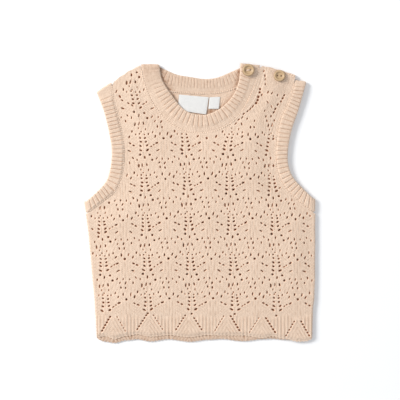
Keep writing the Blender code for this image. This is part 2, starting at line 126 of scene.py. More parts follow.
SIDES = np.array((
    # height, left x, right x
    (-140.0, -101.2, 111.4), (-133.0, -103.2, 112.4), (-105.0, -104.6, 113.0),
    (-95.0, -105.4, 114.6), (-73.0, -107.4, 115.1), (-35.0, -110.8, 115.3),
    (-11.0, -113.8, 115.4), (1.0, -115.6, 115.5),
))
HEMS = np.array((
    # x, edge of the front, edge of the back
    (-103.0, -134.0, -135.5), (-95.3, -132.6, -138.0), (-85.0, -135.3, -139.4),
    (-74.0, -132.6, -136.9), (-62.4, -130.8, -135.8), (-49.5, -133.2, -137.9),
    (-31.8, -131.6, -135.7), (-9.8, -133.6, -138.2), (8.0, -131.4, -136.2),
    (21.5, -132.0, -135.5), (43.5, -132.0, -137.6), (63.4, -134.5, -135.6),
    (71.0, -132.7, -135.2), (85.0, -135.3, -136.2), (98.2, -138.0, -137.2),
    (106.2, -137.6, -137.0), (112.5, -135.4, -135.0),
))
NECK_FOLD_Y = 136.1
FRONT_NECK_FREE = Path(
    (-40.2, NECK_FOLD_Y), (-37.5, 123.0), (-28.2, 108.0), (-14.9, 92.8), (2.0, 87.6),
    (18.8, 93.3), (32.1, 105.9), (38.7, 121.0), (40.4, 139.2))
FRONT_NECK_SEAM = Path(
    (-58.5, NECK_FOLD_Y), (-55.5, 121.0), (-48.0, 102.0), (-33.6, 83.2), (-15.4, 72.6),
    (0.2, 69.8), (14.6, 71.7), (33.0, 81.3), (46.0, 98.0), (54.6, 118.0), (60.0, 137.2))
BACK_NECK_FREE = Path(
    (-40.2, NECK_FOLD_Y), (-37.8, 134.6), (-31.7, 131.9), (-22.0, 128.0), (-9.0, 125.8),
    (5.0, 123.8), (17.4, 125.2), (27.9, 129.4), (38.4, 134.0), (46.0, 137.0))
BACK_NECK_SEAM = Path(
    (-58.5, NECK_FOLD_Y), (-54.5, 124.5), (-45.0, 115.5), (-28.8, 111.6), (-12.8, 110.0),
    (0.2, 109.3), (20.7, 110.5), (34.2, 114.2), (47.2, 121.5), (56.5, 131.0))
LEFT_ARM_FREE = Path(
    (-102.2, 108.8), (-95.2, 90.0), (-89.6, 66.0), (-87.8, 50.0), (-89.6, 33.0),
    (-93.8, 21.0), (-104.5, 9.2), (-113.2, 1.6))
LEFT_ARM_SEAM = Path(
    (-87.6, 118.5), (-85.4, 102.0), (-80.4, 82.0), (-75.6, 60.0), (-75.8, 40.0),
    (-78.2, 23.5), (-83.6, 12.6), (-92.6, 4.8), (-102.0, -2.4), (-111.6, -9.4))
RIGHT_ARM_FREE = Path(
    (105.9, 119.2), (98.6, 93.5), (91.4, 72.0), (87.8, 51.0), (88.6, 37.0),
    (93.4, 25.1), (104.4, 12.8), (113.1, 4.4))
RIGHT_ARM_SEAM = Path(
    (95.0, 120.6), (89.8, 104.0), (81.0, 86.0), (77.0, 69.0), (75.7, 50.0),
    (77.7, 31.0), (83.2, 18.5), (91.0, 9.0), (101.0, 0.0), (112.8, -8.6))
BACK_SHOULDER_LOOPS = Path((85.6, 129.6), (90.5, 128.0), (94.6, 125.6))
FRONT_SHOULDERS = ((95.2, 127.4), (60.9, 136.9), (-59.4, 137.0), (-87.0, 119.6))
BACK_SHOULDERS = ((95.3, 127.9), (59.8, 133.2), (-60.0, 136.6), (-87.0, 119.6))

# ---------------------------------------------------------------- the lace
LACE_WIDTH = 42.3          # one repeat of the chart, from stem to stem
LACE_HEIGHT = 39.6         # and from one row of leaf tips to the next
WALES = 16                 # columns of stitches in a repeat
WALE = LACE_WIDTH / WALES
COURSE = 1.9
HALF_WIDTH = 105.0
LACE_ROWS = np.array((
    # height of a row of leaf tips, its droop at the left side, at the right side, x of 7 stems
    (145.5, 0.0, 4.0, -156.0, -113.5, -71.3, -26.0, 73.0, 96.5, 140.0),
    (106.7, 0.3, 6.3, -150.0, -107.8, -65.0, -20.0, 59.1, 82.1, 124.0),
    (64.4, 1.0, 2.4, -142.0, -99.8, -56.5, -15.0, 29.7, 70.9, 113.5),
    (24.6, 3.6, 3.6, -141.0, -98.3, -55.1, -12.6, 29.6, 71.8, 114.5),
    (-15.1, 4.6, 1.6, -141.0, -97.8, -53.9, -11.4, 31.2, 74.6, 117.0),
    (-55.5, 0.9, 0.9, -139.5, -96.2, -52.8, -9.6, 33.2, 76.0, 118.5),
    (-94.8, 1.7, 1.3, -137.0, -93.8, -51.7, -8.0, 34.9, 76.5, 119.0),
    (-134.4, 1.7, 1.3, -137.0, -93.8, -51.7, -8.0, 34.9, 76.5, 119.0),
))
LACE_CHART = np.array((
    # across from a stem, down from the leaf tips, width, height, lean in degrees
    (-3.2, -9.6, 1.0, 1.6, 0), (3.9, -8.9, 1.0, 2.0, -10),
    (-1.1, -6.4, 1.5, 1.0, -25), (-2.6, -4.4, 1.6, 1.3, -25), (2.2, -3.6, 1.4, 1.2, 25),
    (-2.5, -0.8, 2.1, 1.4, -28), (2.4, -0.6, 2.1, 1.4, 25),
    (-2.5, 3.1, 2.5, 1.5, -30), (2.7, 2.9, 2.4, 1.5, 28),
    (-2.8, 6.9, 2.8, 1.6, -30), (3.3, 6.8, 2.7, 1.6, 30),
    (-3.4, 10.9, 3.3, 1.5, -32), (3.8, 10.9, 3.2, 1.7, 30),
    (-3.9, 15.1, 2.2, 2.0, 10), (6.0, 15.9, 2.2, 1.9, -10),
    (0.4, 18.1, 1.7, 2.7, 0), (7.9, 20.8, 2.0, 2.0, 0), (-7.2, 20.3, 1.4, 2.1, 0),
    (-11.3, 18.2, 1.4, 2.3, 25), (12.9, 19.4, 1.3, 2.1, -25),
    (-14.1, 23.3, 1.4, 2.2, 0), (15.0, 23.6, 1.2, 2.3, -25),
    (-5.6, 26.2, 1.7, 3.4, 0), (-1.7, 25.6, 1.3, 3.2, -8), (3.0, 25.3, 1.8, 2.7, 8),
    (6.0, -4.2, 1.3, 2.0, 0), (-6.7, -4.2, 1.1, 1.7, 0),
    (10.3, -6.0, 1.2, 2.0, -15), (-9.7, -6.6, 1.5, 2.4, -5),
    (12.6, -1.9, 1.5, 2.5, -30), (-13.3, -2.0, 1.7, 2.8, -25),
    (17.8, -4.4, 1.6, 2.8, 0), (-17.2, -4.4, 1.3, 3.2, -15),
    (21.0, 0.0, 2.1, 2.1, 0), (16.1, -11.4, 1.5, 2.3, 10), (20.8, -11.0, 1.6, 2.1, 0),
    (-17.6, 19.8, 1.1, 1.9, 0), (18.6, 19.6, 1.2, 2.1, 0), (20.5, 23.8, 1.6, 2.6, -25),
    (13.9, 4.0, 2.8, 1.5, 28), (10.4, 5.9, 1.8, 1.1, 30), (7.6, 7.5, 2.2, 0.8, 32),
    (-13.1, 4.2, 2.4, 1.2, -30), (-9.6, 6.1, 2.5, 1.3, -26),
    (14.4, 11.5, 3.4, 0.8, 30), (-14.2, 11.7, 3.3, 1.0, -30),
))
SHOULDER_LINES = (
    # on the shoulders the repeat is drawn out into slanting lines of eyelets:
    # x and y of the first, x and y of the last, how many, width, height, lean in degrees
    (64.4, 131.0, 65.2, 118.7, 4, 1.4, 2.2, -8), (60.2, 113.0, 55.9, 99.3, 5, 2.2, 2.4, -20),
    (61.8, 108.4, 61.9, 108.2, 1, 1.7, 2.9, -25), (52.6, 96.8, 36.4, 79.8, 7, 1.2, 2.8, -38),
    (67.9, 110.4, 77.0, 107.2, 3, 1.3, 2.4, -25), (84.9, 107.8, 71.6, 86.9, 7, 1.8, 2.3, -28),
    (68.0, 100.6, 71.0, 95.9, 2, 0.9, 3.2, 30), (64.6, 91.6, 66.8, 82.0, 3, 1.2, 2.2, -5),
    (54.3, 81.6, 47.0, 84.4, 2, 1.4, 2.0, -20), (73.6, 82.6, 79.0, 84.0, 2, 1.4, 2.4, -10),
    (-84.4, 108.7, -80.2, 106.6, 2, 1.7, 2.9, 35), (-71.0, 98.8, -67.4, 97.2, 2, 2.6, 1.0, -32),
)
DRAWN_OUT = (33.0, 79.0)   # right of and above this the front has only those lines
NECK_PLAIN = (52.0, 84.0)  # nearer the middle than this and above it the back has no eyelets
STRONG_EYELET = 1.9        # eyelets at least this wide stay open
LAST_ROW = 6               # the row of leaf tips above the hem
LAST_ROW_END = 11.2        # how far its eyelets go on below the tips
EYELET_MARGIN = 2.3        # cloth left between an eyelet's middle and the panel's edge
EYELET_SPACING = 0.5       # and between two eyelets
EYELET_SEARCH = 6.0        # two eyelets further apart than this can't touch
RING_POINTS = 9            # corners of an eyelet
RIM_WIDTH = 0.30           # the cloth is pinched this far round an eyelet
RIM_PINCH = 0.42           # by this much on either face
LEG_START = (4.5, 8.6)     # a leaf's lower edge: across and down where it leaves the stem
LEG_SLOPE = 0.52           # its rise for each millimetre across
STREAK_PITCH = 2.6         # stitches that lean along that edge
STEEP_SLOPE = 2.1          # the lean of the stitches between two rows of leaves
LEAF_SWELL = 0.45
WALE_RELIEF = 0.42
EDGE_RELIEF = 0.16
STEM_RELIEF = 0.22

HEM_FANS = (
    # x and y of a fan's point, half its width at the bottom, eyelet size on its left, its right
    (-85.8, -112.3, 11.5, 1.9, 1.1), (-49.6, -110.7, 12.5, 1.7, 1.2),
    (-10.8, -110.9, 12.6, 1.5, 1.6), (27.4, -111.7, 12.0, 1.3, 1.8),
    (62.4, -113.6, 12.6, 1.1, 1.9), (97.6, -117.0, 11.4, 1.4, 1.7),
)
FEET = ((-51.7, -109.9), (-8.0, -110.4), (34.9, -110.6), (76.3, -112.2))
FAN_TOP = 1.2              # a fan's first eyelets are this far below its point
FAN_DEPTH = 15.0
FAN_POINT_HALF = 2.9
FAN_EYELETS = 6
SMALL_FAN_EYELET = 1.4
HEM_PITCH = 3.4
HEM_RIB = 0.7
HEM_TOP = -112.0
HEM_POINTS = 270           # points along the hem's edge
HEM_ROUND = 3.4            # the front's hem thins out over this much
SIDE_ROUND = 1.7           # and the sides and the back's hem round off over this much
SIDE_STITCH = 3.3          # the edge stitches that make the sides slightly wavy
SIDE_WAVE = 0.22
EDGE_STEP = 1.6            # between the points of a panel's edge
NECK_RISE = (0.35, 0.9)    # the front rises to the neckband at the left and right shoulder

# ---------------------------------------------------------------- bands, buttons and labels
FRONT_NECK_RIBS = 36
BACK_NECK_RIBS = 29        # the back's ribs are finer than the front's
ARM_RIBS = 31
NECK_RIB_SHARE = 0.62      # the ribs take this share of a band's width, from its free edge
ARM_RIB_SHARE = 0.90
RIB_TOP = 0.75
RIB_STEPS = (0.0, 0.05, 0.11, 0.22, 0.38, 0.5, 0.62, 0.78, 0.89, 0.95)
ACROSS = (
    # share of a band's width, fall or swell of its face as a share of half its thickness
    (0.0, -0.88), (0.015, -0.60), (0.045, -0.28), (0.10, -0.06), (0.20, 0.03), (0.36, 0.06),
    (0.50, 0.06), (0.60, 0.03), (0.66, -0.02), (0.72, 0.02), (0.84, 0.02), (0.93, -0.10),
    (0.975, -0.30), (1.0, -0.52),
)
FOLD_LENGTH = 8.0          # cloth taken up by a fold
EDGE_PAINTED_LIGHT = 0.3           # painted highlight on the stitches of a band's free edge
NECK_EDGE_THIN = 0.6       # the free edge is this much thinner than the rest of the band
BUTTONED_END = (0.70, 0.30)     # the end below the button is this much higher, at its two edges
STRAP_SEAM = 4.8           # the shoulder seam, below the fold of the left strap
# painted shade on the left strap near its fold and on the fold, and the darkness of the strap's
# shoulder seam line
STRAP_SHADE_AND_SEAM = 0.24
BUTTON_PROFILE = (
    # radius, height: from the dish over the rim to the back
    (1.2, 1.50), (2.4, 1.52), (3.1, 1.62), (3.5, 1.95), (3.9, 2.35), (4.3, 2.62), (4.8, 2.76),
    (5.3, 2.70), (5.75, 2.45), (6.05, 2.00), (6.10, 1.60), (5.95, 1.10), (5.5, 0.60),
    (4.7, 0.22), (3.6, 0.05), (1.2, 0.0),
)
SHANK_PROFILE = tuple((1.45 + 0.15 * (ring % 2), 0.3 - 0.13 * ring) for ring in range(11))
BUTTON_RADIUS = 6.1
BUTTON_SINK = 0.25         # how far a button is pulled down to the cloth
HOLE_RADIUS = 0.95
HOLE_PLACE = 1.95
NECK_LABEL = ((-20.9, 108.3), (8.9, 105.6), (6.3, 88.4), (-21.6, 92.6))
SIZE_LABEL = ((9.8, 105.6), (20.3, 106.0), (19.2, 93.9), (8.6, 94.0))
LABEL_BOW = 0.2

# ---------------------------------------------------------------- colours (linear)
# the light end of the yarn's tone, also the colour of painted highlights
CLOTH_LIGHT = (0.880, 0.690, 0.545, 1.0)
# the dark end of the yarn's tone and of the painted shade between stitches
CLOTH_DIM = (0.640, 0.455, 0.330, 1.0)
# the colour of painted shade
CLOTH_SHADOW = (0.430, 0.245, 0.150, 1.0)
# the colour of painted deep shade in the eyelets and where the front covers the back
CLOTH_DEEP_SHADE = (0.720, 0.290, 0.115, 1.0)
WOOD_LIGHT = (0.700, 0.510, 0.310, 1.0)
WOOD_DARK = (0.430, 0.280, 0.145, 1.0)
# painted shade on a button's rim and round the edge of its dish
WOOD_PAINTED_SHADE = (0.220, 0.130, 0.055, 1.0)
TAPE_WHITE = (0.785, 0.775, 0.750, 1.0)
TAPE_SHADE = (0.700, 0.690, 0.670, 1.0)
PAPER = ((0.93, 0.93, 0.935, 1.0), (0.95, 0.95, 0.955, 1.0))
SKY = (0.93, 0.96, 1.0, 1.0)


# ---------------------------------------------------------------- meshes
def add_object(name, data, place=(0.0, 0.0, 0.0)):
    made = bpy.data.objects.new(name, data)
    made.location = place
    bpy.context.scene.collection.objects.link(made)
    return made


def make_object(name, corners, faces, maps, fields, smooth_angle):
    """A piece from corners in millimetres, with flat maps of itself and values per corner."""
    mesh = bpy.data.meshes.new(name)
    mesh.from_pydata((corners * MM).tolist(), [], faces)
    mesh.update()
    shape = bmesh.new()
    shape.from_mesh(mesh)
    if shape.calc_volume(signed=True) < 0.0:
        mesh.flip_normals()
    shape.free()
    loops = np.empty(len(mesh.loops), np.int32)
    mesh.loops.foreach_get("vertex_index", loops)
    for key, values in maps.items():
        layer = mesh.uv_layers.new(name=key)
        layer.data.foreach_set("uv", np.asarray(values, np.float32)[loops].ravel())
    for key, values in fields.items():
        attribute = mesh.attributes.new(key, "FLOAT", "POINT")
        attribute.data.foreach_set("value", np.asarray(values, np.float32))
    mesh.shade_smooth()
    mesh.set_sharp_from_angle(angle=math.radians(smooth_angle))
    return add_object(name, mesh)


def seat(piece, surface, node=None):
    """Gives a piece its material and hangs it on the part, in the place of a solid."""
    piece.data.materials.append(surface)
    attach(piece, "root")
    if node:
        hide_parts(node)
    return piece


def tube_faces(rings, sides, closed=False):
    """Faces of a tube of rings of corners; a closed one runs back into its first ring."""
    number = np.arange(rings * sides).reshape(rings, sides)
    if closed:
        number = np.vstack([number, number[:1]])
    beside = np.roll(number, -1, axis=1)
    faces = np.stack([number[:-1], number[1:], beside[1:], beside[:-1]], axis=-1)
    ends = [] if closed else [number[0].tolist(), number[-1, ::-1].tolist()]
    return faces.reshape(-1, 4).tolist() + ends


def tube(name, across, aside, height, smooth_angle):
    """A closed tube, from x, y and z of the corners of its rings."""
    corners = np.stack(np.broadcast_arrays(across, aside, height), axis=-1)
    faces = tube_faces(*corners.shape[:2])
    corners = corners.reshape(-1, 3)
    return make_object(name, corners, faces, {"cloth_mm": corners[:, :2]}, {}, smooth_angle)


def turns(count):
    """Angles once round."""
    return 2.0 * np.pi * np.arange(count) / count


# ---------------------------------------------------------------- outlines of the panels
def side_x(y, column):
    """x of a side at a height, in straight lines between the rows of its table."""
    return np.interp(y, SIDES[:, 0], SIDES[:, column])


def hem_y(x, column):
    """Height of a hem's edge at x, eased between the rows of its table."""
    x = np.clip(x, HEMS[0, 0], HEMS[-1, 0])
    index = np.clip(np.searchsorted(HEMS[:, 0], x, side="right") - 1, 0, len(HEMS) - 2)
    start, end = HEMS[index], HEMS[index + 1]
    part = ease((x - start[..., 0]) / (end[..., 0] - start[..., 0]))
    return start[..., column] + (end[..., column] - start[..., column]) * part


def side_wave(y):
    """How far the edge stitches draw a side in at a height."""
    return SIDE_WAVE * (1.0 + np.cos(2.0 * np.pi * y / SIDE_STITCH) + 0.5 * np.sin(y / 5.3))


def bowed(start, end, bow):
    """Points on a line that bows outward, on the right of its travel, without its last."""
    start, end = np.array(start), np.array(end)
    along = end - start
    length = np.linalg.norm(along)
    count = max(1, int(length / EDGE_STEP))
    part = (np.arange(count) / count)[:, None]
    outward = np.array([along[1], -along[0]]) / length
    swell = (bow + 0.35 * np.sin(6.2 * np.pi * part)) * np.sin(np.pi * part)
    return start + along * part + outward * swell


def outline(is_front):
    """The panel's edge, anticlockwise from its bottom left corner."""
    column, neck, neck_gap, shoulders = (
        (1, FRONT_NECK_SEAM, SEAM_GAP, FRONT_SHOULDERS) if is_front
        else (2, BACK_NECK_SEAM, SEAM_GAP + 0.2, BACK_SHOULDERS))
    low_y = hem_y(np.array([-102.5, 112.0]), column)
    hem_x = np.linspace(side_x(low_y[0], 1) + 0.8, side_x(low_y[1], 2) - 0.8, HEM_POINTS)
    scallop = 0.9 * np.abs(np.sin(np.pi * hem_x / HEM_PITCH))
    hem = np.column_stack([hem_x, hem_y(hem_x, column) + 0.3 - scallop])
    up = np.arange(low_y[1] + 1.0, UNDERARM_Y, 0.5 * EDGE_STEP)
    right = np.column_stack([side_x(up, 2) - side_wave(up), up])
    down = np.arange(UNDERARM_Y, low_y[0] + 1.0, -0.5 * EDGE_STEP)
    left = np.column_stack([side_x(down, 1) + side_wave(down), down])
    right_arm, left_arm, neck_edge = (
        seam.beside(np.linspace(first, last, int(seam.length / EDGE_STEP)), gap)
        for seam, first, last, gap in ((RIGHT_ARM_SEAM, 0.012, 0.992, -SEAM_GAP),
                                       (LEFT_ARM_SEAM, 0.012, 0.992, SEAM_GAP),
                                       (neck, 0.985, 0.015, -neck_gap)))
    loop = np.vstack([hem, right, right_arm[::-1], bowed(*shoulders[:2], 0.9), neck_edge,
                      bowed(*shoulders[2:], 1.3), left_arm, left])
    loop[::2] += (0.0021, -0.0012)     # no three points in line, which would leave slivers
    return loop


def inside(points, loop):
    """Which points lie inside a closed loop."""
    x, y = points[:, 0], points[:, 1]
    result = np.zeros(len(points), bool)
    for start, end in zip(loop, np.roll(loop, -1, axis=0)):
        crosses = (start[1] > y) != (end[1] > y)
        if crosses.any():
            where = (end[0] - start[0]) * (y - start[1]) / (end[1] - start[1] + 1e-12) + start[0]
            result ^= crosses & (x < where)
    return result


def distance_to(points, line, closed=True):
    """Distance of each point to a line of points."""
    starts, ends = (line, np.roll(line, -1, axis=0)) if closed else (line[:-1], line[1:])
    spots = np.vstack([
        start + (end - start) * np.linspace(0.0, 1.0, 1 + max(1, int(length / 0.25)))[:, None]
        for start, end, length in zip(starts, ends, np.linalg.norm(ends - starts, axis=1))])
    tree = KDTree(len(spots))
    for index, (x, y) in enumerate(spots.tolist()):
        tree.insert((x, y, 0.0), index)
    tree.balance()
    return np.array([tree.find((x, y, 0.0))[2] for x, y in points.tolist()])


# ---------------------------------------------------------------- lace pattern
def lace_rows(place):
    """Rows of LACE_ROWS, read at places between them along a smooth curve."""
    rows = LACE_ROWS
    place = np.clip(place, 0.0, len(rows) - 1.001)
    index = place.astype(int)
    padded = np.concatenate([2 * rows[:1] - rows[1:2], rows, 2 * rows[-1:] - rows[-2:-1]])
    return spline(*(padded[index + step] for step in range(4)), (place - index)[..., None])


def row_height(rows, x):
    """Height of rows of leaf tips at x: they droop towards the sides."""
    droop = np.where(x < 0, rows[..., 1], rows[..., 2])
    return rows[..., 0] - droop * (x / HALF_WIDTH) ** 2


def lace_spot(column, row):
    """Place in the plan of a column, whole at a stem, and a row, whole at the leaf tips."""
    rows = lace_rows(row)
    stems = rows[..., 3:]
    index = np.clip(column.astype(int), 0, stems.shape[-1] - 2)
    left, right = (np.take_along_axis(stems, index[..., None] + step, -1)[..., 0]
                   for step in range(2))
    x = left + (column - index) * (right - left)
    return x, row_height(rows, x)


def lace_place(x, y):
    """Column and row of points of the plan."""
    row = (LACE_ROWS[0, 0] - y) / LACE_HEIGHT
    for _ in range(6):
        nearer = row + (row_height(lace_rows(row), x) - y) / LACE_HEIGHT
        row = np.clip(nearer, 0.0, len(LACE_ROWS) - 1.01)
    stems = lace_rows(row)[:, 3:]
    index = np.clip((stems < x[:, None]).sum(axis=1) - 1, 0, stems.shape[1] - 2)
    spots = np.arange(len(x))
    left, right = stems[spots, index], stems[spots, index + 1]
    return index + (x - left) / (right - left), row


def uneven(x, y, sizes, lean, random, stray=0.35):
    """Eyelets that differ a little from their chart, as x, y, half sizes and lean."""
    share = np.where(sizes[:, :1] < STRONG_EYELET, (0.60, 0.92), (0.86, 0.86))
    halves = 0.5 * sizes * (share + random.uniform(0.0, 0.30, sizes.shape))
    wobble = random.uniform(-stray, stray, sizes.shape)
    lean = np.radians(lean) + random.uniform(-0.22, 0.22, len(x))
    return np.column_stack([x + wobble[:, 0], y + wobble[:, 1], halves, lean])


def lace_eyelets(is_front, random):
    """Eyelets of the whole pattern: x, y, half width, half height, lean in radians."""
    shift = 0.0 if is_front else 0.5
    parts = []
    for row in range(len(LACE_ROWS) - 1):
        marks = LACE_CHART
        if row == LAST_ROW and is_front:
            marks = marks[marks[:, 1] < LAST_ROW_END]
        place = np.clip(row + shift + marks[:, 1] / LACE_HEIGHT, 0.0, 6.99)
        for stem in range(7 if is_front else 6):
            column = np.full(len(marks), stem + shift)
            x, _ = lace_spot(column, place)
            beyond, _ = lace_spot(np.clip(column + np.where(marks[:, 0] < 0, -0.999, 0.999),
                                          0.0, 6.0), place)
            squeeze = np.clip(np.abs(beyond - x) / LACE_WIDTH, 0.5, 1.06)
            far = np.clip((np.abs(marks[:, 0]) - 4.0) / 12.0, 0.0, 1.0)
            x = x + marks[:, 0] * (1.0 + far * (squeeze - 1.0))
            y = row_height(lace_rows(place), x)
            parts.append(uneven(x, y, marks[:, 2:4], marks[:, 4], random))
    made = np.vstack(parts)
    x, y = made[:, 0], made[:, 1]
    if not is_front:
        return made[(np.abs(x) > NECK_PLAIN[0]) | (y < NECK_PLAIN[1])]
    lines = [uneven(np.linspace(first_x, last_x, count), np.linspace(first_y, last_y, count),
                    np.tile(size, (count, 1)), np.full(count, lean), random, 0.75)
             for first_x, first_y, last_x, last_y, count, *size, lean in SHOULDER_LINES]
    return np.vstack([*lines, made[(x < DRAWN_OUT[0]) | (y < DRAWN_OUT[1])]])


def fan_half(depth, half):
    """Half the width of a fan at a depth below its point."""
    return FAN_POINT_HALF + (half - FAN_POINT_HALF) * depth / FAN_DEPTH


def fan_eyelets():
    """Eyelets at the stems' feet and down both edges of the hem's fans."""
    rows = [(x, y, 1.0, 0.85, 0.0) for x, y in FEET]
    for point_x, point_y, half, *sizes in HEM_FANS:
        for side, size in zip((-1, 1), sizes):
            thin, lean = (0.62, 0.55) if size < SMALL_FAN_EYELET else (0.85, 1.0)
            for depth in FAN_TOP + np.arange(FAN_EYELETS) * (FAN_DEPTH - FAN_TOP) / (
                    FAN_EYELETS - 1):
                rows.append((point_x + side * fan_half(depth, half), point_y - depth,
                             0.5 * size * thin, 0.62 * size, side * lean))
    return np.array(rows)


def reach(eyelet, direction):
    """How far an eyelet reaches along a direction in the plan."""
    _, _, width, height, lean = eyelet
    turn = direction - lean
    return width * height / math.hypot(height * math.cos(turn), width * math.sin(turn))


def apart(eyelet, other):
    """Whether enough cloth is left between two eyelets."""
    dx, dy = other[:2] - eyelet[:2]
    if abs(dx) > EYELET_SEARCH or abs(dy) > EYELET_SEARCH:
        return True
    direction = math.atan2(dy, dx)
    return math.hypot(dx, dy) >= EYELET_SPACING + reach(eyelet, direction) + reach(other,
                                                                                   direction)


def keep_clear(eyelets, loop):
    """Only the eyelets that lie inside the outline and clear of each other."""
    centres = eyelets[:, :2]
    kept = []
    for eyelet in eyelets[inside(centres, loop) & (distance_to(centres, loop) > EYELET_MARGIN)]:
        if all(apart(eyelet, other) for other in kept):
            kept.append(eyelet)
    return np.array(kept)


def stitch_line(phase, along):
    """A rounded column of stitches between whole phases, its grooves broken along their way."""
    number = np.round(phase)
    broken = 0.5 + 0.5 * np.sin(along / 1.9 + 2.4 * number + 1.3 * np.sin(5.1 * number))
    return 1.0 - (0.35 + 0.65 * broken) * (1.0 - np.abs(np.sin(np.pi * phase)) ** 0.8)


def between(value, low, low_fade, high, high_fade):
    """1 between two values, faded out beyond them."""
    return ease((value - low) / low_fade) * ease((high - value) / high_fade)


def lace_fields(x, y):
    """Relief of the leaves and stitches, their grooves, how far they lean, and the flat maps."""
    column, row = lace_place(x, y)
    along = row * LACE_HEIGHT
    across = np.abs(column - np.round(column)) * LACE_WIDTH
    down = (row % 1.0) * LACE_HEIGHT
    down = np.where(down > 0.75 * LACE_HEIGHT, down - LACE_HEIGHT, down)
    leg = LEG_START[1] - LEG_SLOPE * (across - LEG_START[0])
    below = (down - leg) / math.hypot(1.0, LEG_SLOPE)
    body = ease((across - 14.5) / 2.5) * between(down, 1.0, 2.5, 24.0, 5.0)
    lean = (1.0 - body) * ease((across - 1.8) / 1.5)
    steep = ease((down - 17.0) / 5.0) + ease((-3.0 - down) / 3.0)
    upright = (along + STEEP_SLOPE * across) / math.hypot(1.0, STEEP_SLOPE)
    streaks = ((1.0 - steep) * stitch_line(below / STREAK_PITCH, across)
               + steep * stitch_line(upright / STREAK_PITCH, along))
    stitches = (1.0 - lean) * stitch_line(WALES * column, along) + lean * streaks
    swell = (0.5 - 0.5 * np.cos(2.0 * np.pi * column)) * (0.6 + 0.4 * np.cos(2 * np.pi * row))
    edge = groove_line(below - 1.1, 0.9) * ease((across - 3.0) / 2.0)
    bars = 0.5 + 0.5 * np.cos(2.0 * np.pi * (down - 1.2) / 3.75)
    stem = ease((6.0 - across) / 2.0) * between(down, -4.0, 2.0, 15.0, 2.0)
    relief = (LEAF_SWELL * swell + WALE_RELIEF * stitches + EDGE_RELIEF * edge
              + STEM_RELIEF * stem * bars)
    maps = {"cloth_mm": np.column_stack([column * WALES * WALE, -along]),
            "leg_mm": np.column_stack([below * WALE / STREAK_PITCH, across])}
    return relief, 1.0 - stitches, lean * (1.0 - steep), maps


def hem_fields(x, y):
    """Height of the hem's ribs and the painted shade of their grooves."""
    gap = np.abs((x / HEM_PITCH) % 1.0 - 0.5) * HEM_PITCH
    for point_x, point_y, half, _, _ in HEM_FANS:
        depth, across = point_y - y, np.abs(x - point_x)
        edge = fan_half(np.maximum(depth, 0.0), half)
        chevron = np.abs(((edge - across) / HEM_PITCH) % 1.0 - 0.5) * HEM_PITCH * 0.85
        gap = np.where((across < edge) & (depth > -2.5), chevron, gap)
    distance = 0.5 * HEM_PITCH - gap
    start = HEM_TOP + 1.0 + 1.3 * np.sin(x / 4.1) + 0.9 * np.sin(x / 1.7)
    fade = ease((start - y) / 5.0)
    faint = 0.75 + 0.25 * np.sin(x / 2.3 + y / 3.1)
    return (HEM_RIB * fade * (1.0 - groove_line(distance, 0.62)),
            fade * faint * groove_line(distance, 0.5))


# ---------------------------------------------------------------- panels
def offset_rows(loop, *distances):
    """Rows of points just inside a loop, which give its edge a round section."""
    along = np.roll(loop, -1, axis=0) - np.roll(loop, 1, axis=0)
    along /= np.linalg.norm(along, axis=1, keepdims=True)
    inward = np.stack([-along[:, 1], along[:, 0]], axis=-1)
    return np.vstack([loop + distance * inward for distance in distances])


def eyelet_rings(eyelets, grow):
    """Points round every eyelet, grown by a margin."""
    angles = turns(RING_POINTS)
    circle = np.stack([np.cos(angles), np.sin(angles)], axis=-1)
    rings = []
    for x, y, half_width, half_height, lean in eyelets:
        turn = np.array([[math.cos(lean), math.sin(lean)], [-math.sin(lean), math.cos(lean)]])
        rings.append(circle * (half_width + grow, half_height + grow) @ turn + (x, y))
    return np.vstack(rings)


def distance_to_eyelets(points, eyelets):
    """Distance to the nearest eyelet's edge, negative inside it and 50 far from all."""
    best = np.full(len(points), 50.0)
    order = np.argsort(points[:, 0])
    sorted_x = points[order, 0]
    for x, y, half_width, half_height, lean in eyelets:
        far = max(half_width, half_height) + 2.6
        low, high = np.searchsorted(sorted_x, (x - far, x + far))
        chosen = order[low:high]
        chosen = chosen[np.abs(points[chosen, 1] - y) < far]
        offset = points[chosen] - (x, y)
        local_x = offset[:, 0] * math.cos(lean) + offset[:, 1] * math.sin(lean)
        local_y = -offset[:, 0] * math.sin(lean) + offset[:, 1] * math.cos(lean)
        radius = np.hypot(local_x / half_width, local_y / half_height)
        length = np.hypot(local_x, local_y)
        gap = np.where(radius > 1e-6, length * (1.0 - 1.0 / np.maximum(radius, 1e-6)),
                       -min(half_width, half_height))
        best[chosen] = np.minimum(best[chosen], gap)
    return best


def rim_edges(outline_size, eyelet_count=0):
    """Edges of the outline's loop and of each eyelet's, by the numbers of their corners."""
    firsts = [outline_size + index * RING_POINTS for index in range(eyelet_count)]
    return [(first + index, first + (index + 1) % size)
            for first, size in [(0, outline_size), *((first, RING_POINTS) for first in firsts)]
            for index in range(size)]


def triangulate(loop, eyelets, extra):
    """Points and triangles of the plan with every eyelet cut out, and the rims' numbers."""
    rim = np.vstack([loop, eyelet_rings(eyelets, 0.0)])
    points = np.vstack([rim, extra])
    plan, _, faces, sources, *_ = delaunay_2d_cdt(
        [Vector(p) for p in points.tolist()], rim_edges(len(loop), len(eyelets)), [], 0, 1e-6,
        True)
    plan = np.array([tuple(p) for p in plan])
    faces = np.array([tuple(f) for f in faces])
    number = np.full(len(points), -1)
    for index, given in enumerate(sources):
        number[given] = index
    middles = plan[faces].mean(axis=1)
    polygons = eyelets * (1.0, 1.0, 0.92, 0.92, 1.0)      # clear of the slivers at their chords
    faces = faces[inside(middles, loop) & (distance_to_eyelets(middles, polygons) > 0.0)]
    first, second, third = (plan[faces[:, corner]] for corner in range(3))
    area = ((second - first)[:, 0] * (third - first)[:, 1]
            - (second - first)[:, 1] * (third - first)[:, 0])
    faces[area < 0] = faces[area < 0][:, ::-1]
    return plan, faces[np.abs(area) > 1e-9], number[:len(rim)]


